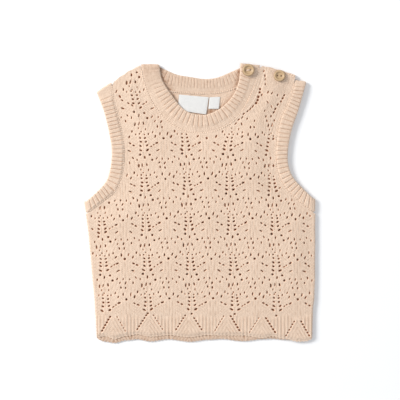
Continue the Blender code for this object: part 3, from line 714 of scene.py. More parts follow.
def solid_sheet(name, upper, lower, rims, heights, maps, fields):
    """A closed wall between an upper and a lower triangulation that share their rims."""
    top_plan, top_faces, top_rim = upper
    low_plan, low_faces, low_rim = lower
    count = len(top_plan)
    corners = np.vstack([np.column_stack([top_plan, heights[0]]),
                         np.column_stack([low_plan, heights[1]])])
    starts, ends = np.array(rim_edges(*rims)).T
    walls = np.column_stack([low_rim[starts] + count, low_rim[ends] + count,
                             top_rim[ends], top_rim[starts]])
    in_eyelet = starts >= rims[0]
    walls[in_eyelet] = walls[in_eyelet][:, ::-1]
    blocks = (top_faces, low_faces[:, ::-1] + count, walls)
    used = np.zeros(len(corners), bool)
    for block in blocks:
        used[block.ravel()] = True
    renumber = np.cumsum(used) - 1
    faces = [face for block in blocks for face in renumber[block].tolist()]
    return make_object(name, corners[used], faces,
                       {key: value[used] for key, value in maps.items()},
                       {key: value[used] for key, value in fields.items()}, 65.0)


def lace_grid(step_column, step_row):
    """Points that follow the columns of stitches."""
    column, row = np.meshgrid(np.arange(5.0 / WALES, 5.95, step_column),
                              np.arange(0.0, len(LACE_ROWS) - 1.2, step_row))
    return np.column_stack(lace_spot(column.ravel(), row.ravel()))


def level_grid(step_x, step_y, high_y):
    """Points in level rows."""
    x, y = np.meshgrid(np.arange(-116.0, 116.0, step_x), np.arange(-140.0, high_y, step_y))
    return np.column_stack([x.ravel(), y.ravel()])


def drape(x, y):
    """The slow rise and fall of cloth that was smoothed out by hand."""
    return (0.28 * np.sin(x / 31.0 + 0.7) * np.cos(y / 43.0 - 0.4)
            + 0.20 * np.sin(x / 17.0 - y / 25.0 + 1.1)
            + 0.14 * np.cos(x / 12.0 + y / 19.0))


def neckband_edge_shadow(plan, left_width, right_width):
    """How much painted shadow points of the back get in the corners beside the front neckband's
    free edge.
    """
    width = np.where(plan[:, 0] < 0, left_width, right_width)
    near = distance_to(plan, FRONT_NECK_FREE.points, closed=False)
    return groove_line(near, width) * ease((np.abs(plan[:, 0]) - 14.0) / 12.0)


def panel_fields(plan, loop, eyelets, is_front):
    """Relief, rounding of the edges, pinch of the eyelets, maps, and painted shade and highlights
    of a panel.
    """
    x, y = plan[:, 0], plan[:, 1]
    relief, groove, lean, maps = lace_fields(x, y)
    ribs, hem_groove = hem_fields(x, y)
    above_hem = 1.0 - ease((HEM_TOP + 1.5 - y) / 2.5)
    gap = np.maximum(distance_to_eyelets(plan, eyelets), 0.0)
    rim = groove_line(gap, RIM_WIDTH)
    ridge = groove_line(gap - 0.75, 0.40)
    height = relief * above_hem + ribs - RIM_PINCH * rim + 0.20 * ridge
    sides = loop[HEM_POINTS:]
    sides = sides[sides[:, 1] < UNDERARM_Y + 0.5]
    inward = np.minimum(distance_to(plan, sides[sides[:, 0] < 0], closed=False),
                        distance_to(plan, sides[sides[:, 0] > 0], closed=False))
    inward = np.clip(inward / SIDE_ROUND, 0.0, 1.0)
    rounding = 1.0 - np.sqrt(np.maximum(0.0, 1.0 - (1.0 - inward) ** 2))
    hem_gap = distance_to(plan, loop[:HEM_POINTS], closed=False)
    flattened = 1.0 - ease(hem_gap / (HEM_ROUND if is_front else SIDE_ROUND))
    height = height * (1.0 - 0.5 * flattened)
    # painted highlight on the raised rims round the eyelets and on the front's thinned hem edge;
    # painted shade in the stitch and hem grooves; painted deep shade at the eyelets' upper rims
    hem_groove_shade, hem_edge_highlight = (0.62, 0.2) if is_front else (1.30, 0.0)
    shade = (-0.45 * ridge + above_hem * 0.36 * groove ** 2 + hem_groove_shade * hem_groove
             - hem_edge_highlight * flattened)
    return height, np.maximum(rounding, flattened), rim, maps, {
        "shade": shade, "leg": lean * above_hem, "painted_deep_shade": 0.55 * groove_line(gap, 0.22)}


def front_heights(x, y, loop, height, rounding, rim):
    """Top and bottom of the front: lofted, and higher where it meets the neckband."""
    edge = distance_to(np.column_stack([x, y]), loop)
    loft = LOFT * ease(edge / 26.0) * (0.35 + 0.65 * ease((y + 135.0) / 60.0))
    bottom = FRONT_BASE + 0.15 + loft + 0.8 * drape(x, y) * ease(edge / 18.0)
    to_neck = distance_to(np.column_stack([x, y]), FRONT_NECK_SEAM.points, closed=False)
    bottom += (np.where(x < 0, *NECK_RISE) * ease((y - 78.0) / 30.0)
               * groove_line(to_neck, 4.5))
    top = bottom + 1.25 + height - 1.3 * rounding
    bottom = bottom + 0.10 * rounding + RIM_PINCH * rim
    return np.maximum(top, bottom + 0.3), bottom


def shade_back(plan, hem_strip, values):
    """Paints shade on the back where the front, the label or the neckband lies over it."""
    x, y = plan[:, 0], plan[:, 1]
    count = len(plan)
    cover = outline(True)
    covered = inside(plan, cover) * ease(distance_to(plan, cover) / 3.0)
    # painted shade: a little over all the back, more under the front, on the hem strip, in the gap
    # below the labels and beside the neckband's free edge; patchy painted deep shade under the
    # front
    patchy = 0.5 + 0.5 * np.sin(x / 2.1 + 1.7 * np.sin(y / 3.3))
    label_gap_shadow = groove_line(x - 10.4, 4.2) * groove_line(y - 91.2, 3.0)
    values["painted_deep_shade"][:count] += covered * (0.45 + 0.45 * patchy)
    values["shade"][:count] += (0.10 + 0.15 * covered + 0.10 * hem_strip + 0.80 * label_gap_shadow
                                + 0.40 * neckband_edge_shadow(plan, 2.2, 1.6))


def lace_panel(node, surface, random):
    """The front or the back, cut through by its eyelets."""
    is_front = node == "front"
    loop = outline(is_front)
    eyelets = lace_eyelets(is_front, random)
    low = HEM_TOP + 1.5 if is_front else HEM_TOP - 4.0
    eyelets = eyelets[eyelets[:, 1] > low + 1.2]
    if is_front:
        eyelets = np.vstack([fan_eyelets(), eyelets])
    eyelets = keep_clear(eyelets, loop)

    def clear(points, edge_gap, eyelet_gap):
        points = points[inside(points, loop)]
        points = points[distance_to(points, loop) > edge_gap]
        return points[distance_to_eyelets(points, eyelets) > eyelet_gap]

    halo = eyelet_rings(eyelets, 0.45)
    halo = halo[distance_to_eyelets(halo, eyelets) > 0.3]
    steps = (1 / 3, 1.5) if is_front else (0.5, 3.0)
    grid = lace_grid(steps[0] / WALES, steps[1] / LACE_HEIGHT)
    upper = triangulate(loop, eyelets, np.vstack([
        clear(grid[grid[:, 1] > low - 1.0], 1.3, 0.72),
        clear(level_grid(0.85, 1.3, low - 1.4), 1.3, 0.6), offset_rows(loop, 0.45, 1.0), halo]))
    lower = triangulate(loop, eyelets, np.vstack([
        clear(level_grid(4.5, 4.5, 139.0), 1.5, 1.0), offset_rows(loop, 0.9)]))
    count = len(upper[0])
    plan = np.vstack([upper[0], lower[0]])
    x, y = plan[:, 0], plan[:, 1]
    height, rounding, rim, maps, values = panel_fields(plan, loop, eyelets, is_front)
    # painted deep shade on the eyelets' lower rims, which colours their walls
    values["painted_deep_shade"][count:] += 0.30 * rim[count:]
    if is_front:
        top, bottom = front_heights(x, y, loop, height, rounding, rim)
    else:
        bottom = 0.8 * rounding
        hem_strip = ease((-130.0 - y) / 3.0)
        top = np.maximum(1.15 + 0.75 * height - 0.35 * rounding + 0.3 * hem_strip, bottom + 0.5)
        shade_back(upper[0], hem_strip[:count], values)
    piece = solid_sheet(node + "_knit", upper, lower, (len(loop), len(eyelets)),
                        (top[:count], bottom[count:]), maps, values)
    return seat(piece, surface, node)


# ---------------------------------------------------------------- bands
def across_from(first, second, share):
    """Points of the second curve that lie square across from shares of the first."""
    tried = np.linspace(0.0, 1.0, 2400)
    gaps = np.linalg.norm(first.at(share)[:, None] - second.at(tried)[None], axis=2)
    nearest = tried[gaps.argmin(axis=1)]
    weight = 0.98 * ease(np.minimum(share, 1.0 - share) / 0.16)     # so that no two coincide
    return second.at(share + weight * (nearest - share))


def band_piece(node, surface, sections, closed):
    """A band from its cross-sections: their points, flat map and shade."""
    points, flat_map, shade = sections
    faces = tube_faces(*points.shape[:2], closed)
    if not closed:      # each end's face starts one corner on, from which it is split
        faces[-2:] = [face[-1:] + face[:-1] for face in faces[-2:]]
    piece = make_object(node + "_knit", points.reshape(-1, 3), faces,
                        {"cloth_mm": flat_map.reshape(-1, 2)}, {"shade": shade.ravel()}, 75.0)
    return seat(piece, surface, node)


def section_rows(free, seam, inner, outer, along, rib_share, lift=0.0, groove=0.0,
                 inner_lift=0.0, inner_groove=0.0):
    """Cross-sections of a lying band.

    free and seam are plan points, inner and outer the faces' heights at those two edges, along
    the stations' places on the map, the lifts those of the ribs and the grooves the painted
    shade in the ribs' grooves; the free edge gets a painted highlight.
    """
    across, swell = np.array(ACROSS).T
    ribbed = np.clip(1.0 - (across - rib_share) / 0.06, 0, 1) * np.clip(0.3 + across / 0.05, 0, 1)
    lift, groove, inner_lift, inner_groove = (
        ribbed * np.broadcast_to(value, len(free))[:, None]
        for value in (lift, groove, inner_lift, inner_groove))

    def section(upper, lower):
        return np.concatenate([upper, lower[:, ::-1]], axis=1)

    def face(edges):
        return edges[:, :1] + across * (edges[:, 1:] - edges[:, :1])

    half = 0.5 * (outer[:, :1] - inner[:, :1])
    flat = free[:, None] + across[:, None] * (seam - free)[:, None]
    top = face(outer) + swell * half + np.sign(half) * lift
    under = face(inner) - np.minimum(swell, 0.0) * half - np.sign(half) * inner_lift
    width = np.linalg.norm(seam - free, axis=1)[:, None]
    place = np.stack(np.broadcast_arrays(along[:, None], across * width), axis=-1)
    # painted shade in the rib grooves, a painted highlight on the free edge
    return (section(np.dstack([flat, top]), np.dstack([flat, under])), section(place, place),
            section(groove - EDGE_PAINTED_LIGHT * groove_line(across, 0.045), inner_groove))


def fold_rows(free, seam, outward, inner, outer, start_along, rib_share):
    """Cross-sections round a fold from the upper layer to the lower one."""
    radii = [np.full((1, 2), 0.5 * (upper - lower)) for upper, lower in (inner, outer)]
    (section,), (place,), _ = section_rows(free[None], seam[None], *radii, np.zeros(1), rib_share)
    angles = np.radians(np.arange(80.0, -81.0, -20.0))[:, None]
    radius = section[:, 2]
    plan = section[:, :2] + (np.cos(angles) * radius)[..., None] * outward
    points = np.dstack([plan, 0.5 * sum(inner) + radius * np.sin(angles)])
    along = start_along + (math.pi / 2 - angles) * radii[1][0, 0]
    # a little painted shade all round the fold
    return (points, np.stack(np.broadcast_arrays(along, place[:, 1]), axis=-1),
            np.full(points.shape[:2], 0.05))


def rib_stations(count):
    """Stations along a ribbed band: phase, rib height and the painted shade of its grooves, a
    groove at each whole.
    """
    phase = np.append((np.arange(count)[:, None] + np.array(RIB_STEPS)).ravel(), count)
    gap = np.abs(phase - np.round(phase))
    height = 1.0 - groove_line(gap, 0.10) - 0.12 * groove_line(gap - 0.5, 0.09)
    return phase, RIB_TOP * height, groove_line(gap, 0.062)


def neck_bases(share):
    """Height of the front neckband's underside at its free edge and at its seam."""
    nearest = np.minimum(share, 1.0 - share)
    crossing = 1.0 - ease(nearest / 0.25)
    seam = FRONT_BASE + crossing * (NECK_END_BASE - FRONT_BASE)
    free = seam + NECK_STAND * (1.0 - ease(1.0 - nearest / 0.2))
    return np.stack([free, seam], axis=-1)


def neckband(surface):
    """The neckband, from its buttoned end round the front, over the fold and round the back."""
    free, seam = FRONT_NECK_FREE, FRONT_NECK_SEAM
    phase, height, groove = rib_stations(FRONT_NECK_RIBS)
    end = phase[-1] * 2.0 * WALE
    share = 1.0 - phase / phase[-1]
    inner = neck_bases(share)
    seen = ease((share - 0.03) / 0.16) * (0.65 + 0.35 * ease((1.0 - share) / 0.16))
    rightward = ease((share - 0.55) / 0.2)
    creases = 0.16 * np.sin(share * free.length / 0.62) * ease(1.0 - share / 0.07)
    outer = inner + BAND - 0.35 + ease((share - 0.80) / 0.10)[:, None] * BUTTONED_END
    outer[:, 0] -= NECK_EDGE_THIN * ease(np.minimum(share, 1.0 - share) / 0.12)
    # the grooves' values are painted shade in the rib grooves
    front = section_rows(free.at(share), across_from(free, seam, share), inner, outer,
                         phase * 2.0 * WALE, NECK_RIB_SHARE, 0.8 * height * seen + creases,
                         (0.55 + 0.35 * rightward) * groove * seen)
    # painted shade on the left strap near its fold, and the dark line of its shoulder seam
    strap_shade_and_seam = STRAP_SHADE_AND_SEAM * (1.0 - ease(share / 0.16)
                          + groove_line(share * free.length - STRAP_SEAM, 0.55))
    fold = fold_rows(free.at(0.0), seam.at(0.0), np.array([0.0, 1.0]),
                     (NECK_END_BASE, BACK_BAND), (NECK_END_BASE + BAND - 0.35, 0.0),
                     end, NECK_RIB_SHARE)
    free, seam = BACK_NECK_FREE, BACK_NECK_SEAM
    phase, height, groove = rib_stations(BACK_NECK_RIBS)
    share = phase / phase[-1]
    # on the back band the upper face carries the ribs and their painted groove shade
    back = section_rows(free.at(share), across_from(free, seam, share),
                        np.full((len(share), 2), BACK_BAND - 0.35), np.zeros((len(share), 2)),
                        end + FOLD_LENGTH + phase * 2.0 * WALE, NECK_RIB_SHARE, 0.0, 0.0,
                        0.55 * height * ease(share / 0.1), 0.55 * groove + 0.06)
    points, flat_map, shade = (np.concatenate(parts) for parts in zip(front, fold, back))
    plan = back[0][..., :2]
    corners = neckband_edge_shadow(plan.reshape(-1, 2), 4.5, 3.0).reshape(plan.shape[:2])
    # the band a little darker all over, painted shade on the fold, and a painted shadow on the
    # back band beside the front's free edge
    shade += 0.06
    shade[:len(strap_shade_and_seam)] += strap_shade_and_seam[:, None]
    shade[len(strap_shade_and_seam):-len(plan)] += STRAP_SHADE_AND_SEAM
    shade[-len(plan):] += 0.75 * corners
    return band_piece("neckband", surface, (points, flat_map, shade), False)


def armband(node, surface, free, seam, outward_x, plain):
    """One armband: a ribbed ring pressed flat, plain for a share of its length at the shoulder."""
    phase, height, groove = rib_stations(ARM_RIBS)
    end = phase[-1] * 2.0 * WALE
    share = phase / phase[-1]
    base = np.full((len(share), 2), ARM_BASE)
    seen = ease((share - 0.25 * plain) / plain) * ease((1.02 - share) / 0.05)
    # the grooves' values are painted shade in the rib grooves
    front = section_rows(free.at(share), across_from(free, seam, share), base, base + BAND - 0.4,
                         phase * 2.0 * WALE, ARM_RIB_SHARE, height * seen, 0.55 * groove * seen)
    heights = (ARM_BASE, WALL + 0.2), (ARM_BASE + BAND - 0.4, 0.0)
    under = fold_rows(free.at(1.0), seam.at(1.0), np.array([outward_x, 0.0]), *heights, end,
                      ARM_RIB_SHARE)
    along = np.linspace(0.0, 1.0, 60)
    back = section_rows(free.at(1.0 - along), across_from(free, seam, 1.0 - along),
                        np.full((60, 2), WALL + 0.2), np.zeros((60, 2)),
                        end + FOLD_LENGTH + along * end, ARM_RIB_SHARE)
    line = seam.at(0.0) - free.at(0.0)
    line /= np.linalg.norm(line)
    top = fold_rows(free.at(0.0), seam.at(0.0), np.array([-line[1], line[0]]) * -outward_x,
                    *heights, -FOLD_LENGTH, ARM_RIB_SHARE)
    top = [part[::-1] for part in top]
    sections = [np.concatenate(parts) for parts in zip(front, under, back, top)]
    return band_piece(node, surface, sections, True)


def seam_chain(name, path, height, surface, first, last, stitch, girth, waist=0.22):
    """The row of small linked loops where a band is joined on, between shares of the seam."""
    count = int(path.length * (last - first) / stitch)
    share = (first + (last - first) * (np.arange(count) + 0.5) / count)[:, None, None]
    ahead, side = path.ahead(share, 0.004)
    part, angle = (np.arange(7) / 6)[:, None], turns(6)
    radius = waist + girth * np.sin(np.pi * part) ** 0.6
    flat = (path.at(share) + ahead * ((part - 0.5) * stitch * 0.98)[..., None]
            + side * (0.5 * (part - 0.5) - 0.05 + radius * np.cos(angle))[..., None])
    top = height(share) + 0.55 * radius * np.sin(angle)
    corners = np.concatenate([flat, np.broadcast_to(top, flat.shape[:3])[..., None]], axis=-1)
    faces = [[index * 42 + corner for corner in face]
             for index in range(count) for face in tube_faces(7, 6)]
    # painted shade where the loops meet, a painted highlight on their middles
    shade = np.tile(np.repeat(0.80 * np.abs(2.0 * part - 1.0) ** 3 - 0.45, 6), count)
    corners = corners.reshape(-1, 3)
    piece = make_object(name, corners, faces, {"cloth_mm": corners[:, :2]}, {"shade": shade}, 80.0)
    seat(piece, surface)


def seam_chains(surface):
    """The linked loops of the seams that show."""
    band_top = BAND - 0.60
    for name, path, height, *sizes in (
            ("neck_seam_stitches", FRONT_NECK_SEAM,
             lambda share: neck_bases(share)[..., 1] + band_top, 0.02, 0.985, 2.2, 0.42, 0.40),
            ("back_neck_seam_stitches", BACK_NECK_SEAM, lambda share: 1.75,
             0.14, 0.92, 1.9, 0.75),
            ("left_arm_seam_stitches", LEFT_ARM_SEAM, lambda share: ARM_BASE + band_top,
             0.01, 0.985, 2.2, 0.36),
            ("right_arm_seam_stitches", RIGHT_ARM_SEAM, lambda share: ARM_BASE + band_top,
             0.01, 0.985, 2.2, 0.36),
            ("back_shoulder_stitches", BACK_SHOULDER_LOOPS, lambda share: 3.9,
             0.0, 1.0, 2.2, 0.75)):
        seam_chain(name, path, height, surface, *sizes)


# ---------------------------------------------------------------- buttons and labels
def turned(name, profile, sides, smooth_angle):
    """A closed turned shape from its radii and heights, from the top down."""
    radius, height = np.array(profile).T[..., None]
    angles = turns(sides)
    return tube(name, radius * np.cos(angles), radius * np.sin(angles), height, smooth_angle)


def thread_strand(name, offset):
    """One strand of sewing thread over the bridge between a button's holes."""
    part, angles = (np.arange(11) / 10)[:, None], turns(8)
    arch = np.sin(np.pi * part)
    return tube(name, (part - 0.5) * 4.3, offset * (0.7 + 0.5 * arch) + 0.27 * np.cos(angles),
                1.05 + 0.95 * arch ** 0.6 + 0.24 * np.sin(angles), 80.0)


def pierced(piece):
    """The mesh of a button with its two holes cut through it."""
    cutters = []
    for side in (-1, 1):
        bpy.ops.mesh.primitive_cylinder_add(vertices=20, radius=HOLE_RADIUS * MM, depth=0.02,
                                            location=(side * HOLE_PLACE * MM, 0.0, 0.0))
        cutters.append(bpy.context.object)
        hole = piece.modifiers.new("hole", "BOOLEAN")
        hole.operation = "DIFFERENCE"
        hole.solver = "EXACT"
        hole.object = cutters[-1]
    bpy.context.view_layer.update()
    mesh = bpy.data.meshes.new_from_object(
        piece.evaluated_get(bpy.context.evaluated_depsgraph_get()))
    piece.modifiers.clear()
    for cutter in cutters:
        bpy.data.objects.remove(cutter)
    shape = bmesh.new()
    shape.from_mesh(mesh)
    bmesh.ops.remove_doubles(shape, verts=shape.verts, dist=0.002 * MM)
    bmesh.ops.dissolve_degenerate(shape, dist=0.002 * MM, edges=shape.edges)
    shape.to_mesh(mesh)
    shape.free()
    mesh.materials.clear()
    return mesh


def button(node, tilt, turn, size, surface, thread_surface, strand_places=()):
    """A turned wooden button with its two holes and its sewing thread."""
    name = node + "_wood"
    low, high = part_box(node)
    centre = (low + high) / 2
    piece = turned(name, BUTTON_PROFILE, 56, 50.0)
    piece.data = pierced(piece)
    strands = [thread_strand(name + "_thread_" + str(index), offset)
               for index, offset in enumerate(strand_places)]
    strands.append(turned(name + "_shank", SHANK_PROFILE, 16, 80.0))
    rise = BUTTON_RADIUS * math.sin(math.radians(abs(tilt))) - BUTTON_SINK
    for part in [piece, *strands]:
        part.rotation_euler = (math.radians(tilt), 0.0, math.radians(turn))
        part.scale = (size, size, size)
        part.location = (centre.x, centre.y, low.z + rise * MM)
    for strand in strands:
        seat(strand, thread_surface)
    seat(piece, surface, node)


def label(node, corners, surface):
    """A folded tab of woven tape, bare, with a soft bow and slightly lifted lower corners."""
    columns, rows = 24, 18
    top_left, top_right, low_right, low_left = (np.array(c) for c in corners)
    across, down = np.meshgrid(np.linspace(0, 1, columns), np.linspace(0, 1, rows))
    upper = top_left + across[..., None] * (top_right - top_left)
    lower = low_left + across[..., None] * (low_right - low_left)
    plan = (upper + down[..., None] * (lower - upper)).reshape(-1, 2)
    base = (FRONT_BASE + LABEL_BOW * np.sin(np.pi * across) * down
            + 0.25 * LABEL_BOW * down ** 2).ravel()
    edge = np.minimum(np.minimum(across, 1 - across) * columns,
                      np.minimum(down, 1 - down) * rows).ravel()
    number = np.arange(rows * columns).reshape(rows, columns)
    quads = np.stack([number[:-1, :-1], number[1:, :-1], number[1:, 1:], number[:-1, 1:]],
                     axis=-1).reshape(-1, 4)
    rim = np.concatenate([number[0, :-1], number[:-1, -1], number[-1, :0:-1],
                          number[:0:-1, 0]])[::-1]
    sheet = (plan, np.vstack([quads[:, :3], quads[:, [0, 2, 3]]]), rim)
    piece = solid_sheet(node + "_tape", sheet, sheet, (len(rim),),
                        (base + 0.55 - 0.25 * np.exp(-edge / 0.7), base),
                        {"cloth_mm": np.vstack([plan, plan])}, {})
    return seat(piece, surface, node)


# ---------------------------------------------------------------- materials
class Nodes:
    """Writes one material's node tree; an input is a constant or another node's output."""

    def __init__(self, name):
        self.material = bpy.data.materials.new(name)
        self.material.use_nodes = True
        self.tree = self.material.node_tree

    def fill(self, node, inputs):
        for key, value in inputs.items():
            if isinstance(value, bpy.types.NodeSocket):
                self.tree.links.new(value, node.inputs[key])
            else:
                node.inputs[key].default_value = value

    def finish(self, **inputs):
        """Fills the shader's inputs, with _ for a blank in their names."""
        self.fill(self.tree.nodes["Principled BSDF"],
                  {key.replace("_", " "): value for key, value in inputs.items()})
        return self.material

    def add(self, kind, inputs=None, output=0, **settings):
        """A new node; gives one of its outputs."""
        node = self.tree.nodes.new("ShaderNode" + kind)
        for key, value in settings.items():
            setattr(node, key, value)
        self.fill(node, inputs or {})
        return node.outputs[output]

    def maths(self, operation, *values):
        return self.add("Math", dict(enumerate(values)), operation=operation)

    def clamp(self, value):
        """A number kept between 0 and 1."""
        return self.maths("MINIMUM", self.maths("MAXIMUM", value, 0.0), 1.0)

    def mix(self, factor, first, second):
        """A colour between two others."""
        return self.add("Mix", {0: factor, 6: first, 7: second}, 2, data_type="RGBA")

    def blend(self, factor, first, second):
        """A number between two others."""
        return self.add("Mix", {0: factor, 2: first, 3: second}, data_type="FLOAT")

    def flat_map(self, name="cloth_mm"):
        return self.add("UVMap", uv_map=name)

    def attribute(self, name):
        return self.add("Attribute", None, "Fac", attribute_name=name)

    def noise(self, vector, scale, detail=3.0, roughness=0.55):
        return self.add("TexNoise", {"Vector": vector, "Scale": scale, "Detail": detail,
                                     "Roughness": roughness}, "Fac")

    def bump(self, height, strength, distance, **more):
        return self.add("Bump", {"Height": height, "Strength": strength, "Distance": distance,
                                 **more}, "Normal")

    def stretched(self, place, across, along, turn=0.0):
        """A flat map scaled for noise that runs along one of its ways."""
        return self.add("Mapping", {"Vector": place, "Scale": (1.0 / across, 1.0 / along, 1.0),
                                    "Rotation": (0.0, 0.0, turn)})

    def split(self, place):
        """The two ways of a flat map."""
        parts = self.add("SeparateXYZ", {0: place}).node
        return parts.outputs[0], parts.outputs[1]


NOISE_MIDDLE = 0.5         # tones are set about this value of a noise


def stitch_pattern(nodes, place):
    """Columns of V stitches on a flat map in millimetres: height of the yarn."""
    maths = nodes.maths
    x, y = nodes.split(place)
    column, row = maths("DIVIDE", x, WALE), maths("DIVIDE", y, COURSE)
    middle = maths("ABSOLUTE", maths("SUBTRACT", maths("FRACT", column), 0.5))
    leg = maths("MULTIPLY", middle, 2.0)
    slant = maths("SUBTRACT", row, maths("MULTIPLY", leg, 0.85))
    wave = maths("COSINE", maths("MULTIPLY", slant, 2.0 * math.pi))
    body = maths("MAXIMUM", maths("SINE", maths("MULTIPLY", leg, math.pi)), 0.0)
    return maths("MULTIPLY", maths("POWER", body, 0.6), maths("MULTIPLY_ADD", wave, 0.28, 0.72))


def knit_material(name, leans, grain):
    """Cotton knit: columns of V stitches with painted shade between them, uneven yarn, soft
    colour changes, painted shade and highlights, and painted deep shade in the hollows.

    On the lace the stitches lean; on a band the painted shade in the grooves between ribs is
    broken by its stitches.
    """
    nodes = Nodes(name)
    maths, noise = nodes.maths, nodes.noise
    place = nodes.flat_map()
    height = stitch_pattern(nodes, place)
    streak = noise(nodes.stretched(place, 1.5, 5.0), 1.0, 2.0, 0.6)
    if leans:
        leg_place, leg = nodes.flat_map("leg_mm"), nodes.attribute("leg")
        height = nodes.blend(leg, height, stitch_pattern(nodes, leg_place))
        streak = nodes.blend(leg, streak,
                             noise(nodes.stretched(leg_place, 1.5, 5.0), 1.0, 2.0, 0.6))
    fuzz = noise(place, 2.6, 4.0, 0.7)
    patches = noise(place, 0.045, 3.0, 0.5)
    yarn = noise(place, 0.55, 2.0, 0.6)
    # the stitches' height paints shade into their low parts; the noises vary the yarn's colour
    yarn_tone_and_stitch_shade = maths("MULTIPLY_ADD", height, 0.95, 0.105)
    for value, share in ((streak, 1.05), (fuzz, 0.50), (yarn, 0.40), (patches, 0.30)):
        share *= grain
        yarn_tone_and_stitch_shade = maths("MULTIPLY_ADD", value, share, maths("SUBTRACT", yarn_tone_and_stitch_shade, NOISE_MIDDLE * share))
    colour = nodes.mix(nodes.clamp(yarn_tone_and_stitch_shade), CLOTH_DIM, CLOTH_LIGHT)
    # a piece's shade value paints shade where it is positive and a highlight where it is negative
    shade = nodes.attribute("shade")
    dark = nodes.clamp(shade)
    # on a band the painted shade of the rib grooves is broken up along them
    if not leans:
        broken = noise(nodes.stretched(place, 2.0 * WALE, 2.3), 1.0, 1.0, 0.5)
        broken = nodes.clamp(maths("MULTIPLY_ADD", broken, 3.4, -1.25))
        dark = maths("MULTIPLY", dark, maths("MULTIPLY_ADD", broken, 0.75, 0.55))
    colour = nodes.mix(dark, colour, CLOTH_SHADOW)
    colour = nodes.mix(nodes.clamp(maths("MULTIPLY", shade, -1.0)), colour, CLOTH_LIGHT)
    # painted deep shade in the eyelets and under the front
    colour = nodes.mix(nodes.clamp(nodes.attribute("painted_deep_shade")), colour, CLOTH_DEEP_SHADE)
    normal = nodes.bump(fuzz, 0.35, 0.00018, Normal=nodes.bump(height, 0.8, 0.00035))
    return nodes.finish(Base_Color=colour, Roughness=maths("MULTIPLY_ADD", fuzz, 0.12, 0.80),
                        Sheen_Weight=0.10, Sheen_Roughness=0.55, Sheen_Tint=CLOTH_LIGHT,
                        Specular_IOR_Level=0.08, Normal=normal)


def wood_material(name):
    """Pale turned wood: fine grain, with painted shade on the rim and round the edge of the dish.
    """
    nodes = Nodes(name)
    maths = nodes.maths
    place = nodes.flat_map()
    stretched = nodes.stretched(place, 4.0, 0.625, 0.5)
    grain = nodes.noise(stretched, 1.1, 5.0, 0.6)
    fine = nodes.noise(stretched, 6.0, 3.0, 0.6)
    colour = nodes.mix(maths("MULTIPLY_ADD", grain, 1.5, -0.30), WOOD_DARK, WOOD_LIGHT)
    colour = nodes.mix(maths("MULTIPLY", fine, 0.25), colour, WOOD_DARK)
    # painted shade on the outer rim and round the dish's edge
    radius = nodes.add("VectorMath", {0: place}, "Value", operation="LENGTH")
    rim = nodes.clamp(maths("MULTIPLY_ADD", radius, 2.2, -2.2 * 5.55))
    dish = maths("ABSOLUTE", maths("SUBTRACT", radius, 3.5))
    dish = nodes.clamp(maths("MULTIPLY_ADD", dish, -1.8, 1.0))
    painted_turn_shade = maths("ADD", maths("MULTIPLY", rim, 0.75), maths("MULTIPLY", dish, 0.30))
    return nodes.finish(Base_Color=nodes.mix(nodes.clamp(painted_turn_shade), colour, WOOD_PAINTED_SHADE),
                        Roughness=0.42, Specular_IOR_Level=0.45,
                        Normal=nodes.bump(fine, 0.25, 0.00008))


def tape_material(name):
    """Fine white woven tape."""
    nodes = Nodes(name)
    place = nodes.flat_map()
    weave = nodes.maths("MULTIPLY", *(
        nodes.maths("SINE", nodes.maths("MULTIPLY", way, 2 * math.pi / 0.42))
        for way in nodes.split(place)))
    soft = nodes.noise(place, 0.25, 2.0)
    colour = nodes.mix(nodes.maths("MULTIPLY", soft, 0.6), TAPE_WHITE, TAPE_SHADE)
    colour = nodes.mix(nodes.maths("MULTIPLY_ADD", weave, 0.06, 0.06), colour, TAPE_SHADE)
    return nodes.finish(Base_Color=colour, Roughness=0.6, Sheen_Weight=0.15,
                        Normal=nodes.bump(weave, 0.5, 0.00008))


def floor_material():
    """Smooth white paper."""
    nodes = Nodes("white_paper")
    grain = nodes.noise(nodes.add("TexCoord", None, "Object"), 900.0, 2.0)
    colour = nodes.mix(nodes.maths("MULTIPLY", grain, 0.2), *PAPER)
    return nodes.finish(Base_Color=colour, Roughness=0.95, Specular_IOR_Level=0.0)


# ---------------------------------------------------------------- stage, light and camera
FLOOR_SIZE = 6.0
FLOOR_Z = -0.0002
PHOTO_PIXELS = 400
PHOTO_CENTRE = (199.8, 203.0)      # the photograph's pixel at the part's origin
CAMERA_HEIGHT = 1.20
SENSOR = 36.0


def add_light(name, place, size, power, colour):
    """A round lamp that points at the origin."""
    data = bpy.data.lights.new(name, "AREA")
    data.shape = "DISK"
    data.size = size
    data.energy = power
    data.color = colour
    add_object(name, data, place).rotation_euler = (
        -Vector(place)).to_track_quat("-Z", "Y").to_euler()


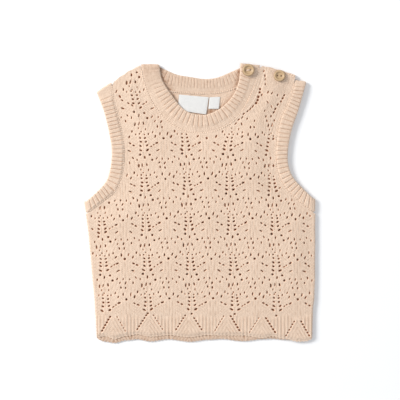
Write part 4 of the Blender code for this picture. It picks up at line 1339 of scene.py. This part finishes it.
def add_stage():
    """The floor, two lamps and the light of the sky."""
    bpy.ops.mesh.primitive_plane_add(size=FLOOR_SIZE, location=(0.0, 0.0, FLOOR_Z))
    floor = bpy.context.object
    floor.name = "floor"
    floor.data.materials.append(floor_material())
    add_light("key", (-1.90, 1.00, 1.35), 1.0, 64.0, (1.0, 0.985, 0.965))
    add_light("fill", (1.2, -1.1, 2.4), 1.8, 14.0, (0.96, 0.98, 1.0))
    world = bpy.data.worlds.new("studio")
    world.use_nodes = True
    background = world.node_tree.nodes["Background"]
    background.inputs["Color"].default_value = SKY
    background.inputs["Strength"].default_value = 0.55
    scene = bpy.context.scene
    scene.world = world
    scene.view_settings.view_transform = "Standard"
    scene.view_settings.look = "None"


def add_camera():
    """Straight above, at one millimetre to a pixel of the photograph."""
    data = bpy.data.cameras.new("camera")
    data.sensor_width = SENSOR
    data.lens = SENSOR * CAMERA_HEIGHT / (PHOTO_PIXELS * MM)
    half = 0.5 * PHOTO_PIXELS
    bpy.context.scene.camera = add_object("camera", data, (
        (half - PHOTO_CENTRE[0]) * MM, (PHOTO_CENTRE[1] - half) * MM, CAMERA_HEIGHT))


def main():
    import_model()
    add_camera()
    add_stage()
    random = np.random.default_rng(11)
    lace = knit_material("lace_knit", True, 1.0)
    rib = knit_material("rib_knit", False, 1.5)
    wood = wood_material("button_wood")
    tape = tape_material("woven_tape")
    pieces = {
        "front": lace_panel("front", lace, random),
        "back": lace_panel("back", lace, random),
        "neck": neckband(rib),
        "left": armband("armband_left", rib, LEFT_ARM_FREE, LEFT_ARM_SEAM, -1.0, 0.08),
        "right": armband("armband_right", rib, RIGHT_ARM_FREE, RIGHT_ARM_SEAM, 1.0, 0.03),
        "neck_label": label("neck_label", NECK_LABEL, tape),
        "size_label": label("size_label", SIZE_LABEL, tape),
    }
    seam_chains(rib)
    button("button_neck", 0.0, 10.0, 1.0, wood, rib, (-0.42, 0.0, 0.42))
    button("button_shoulder", -6.0, -4.0, 0.94, wood, rib)


main()
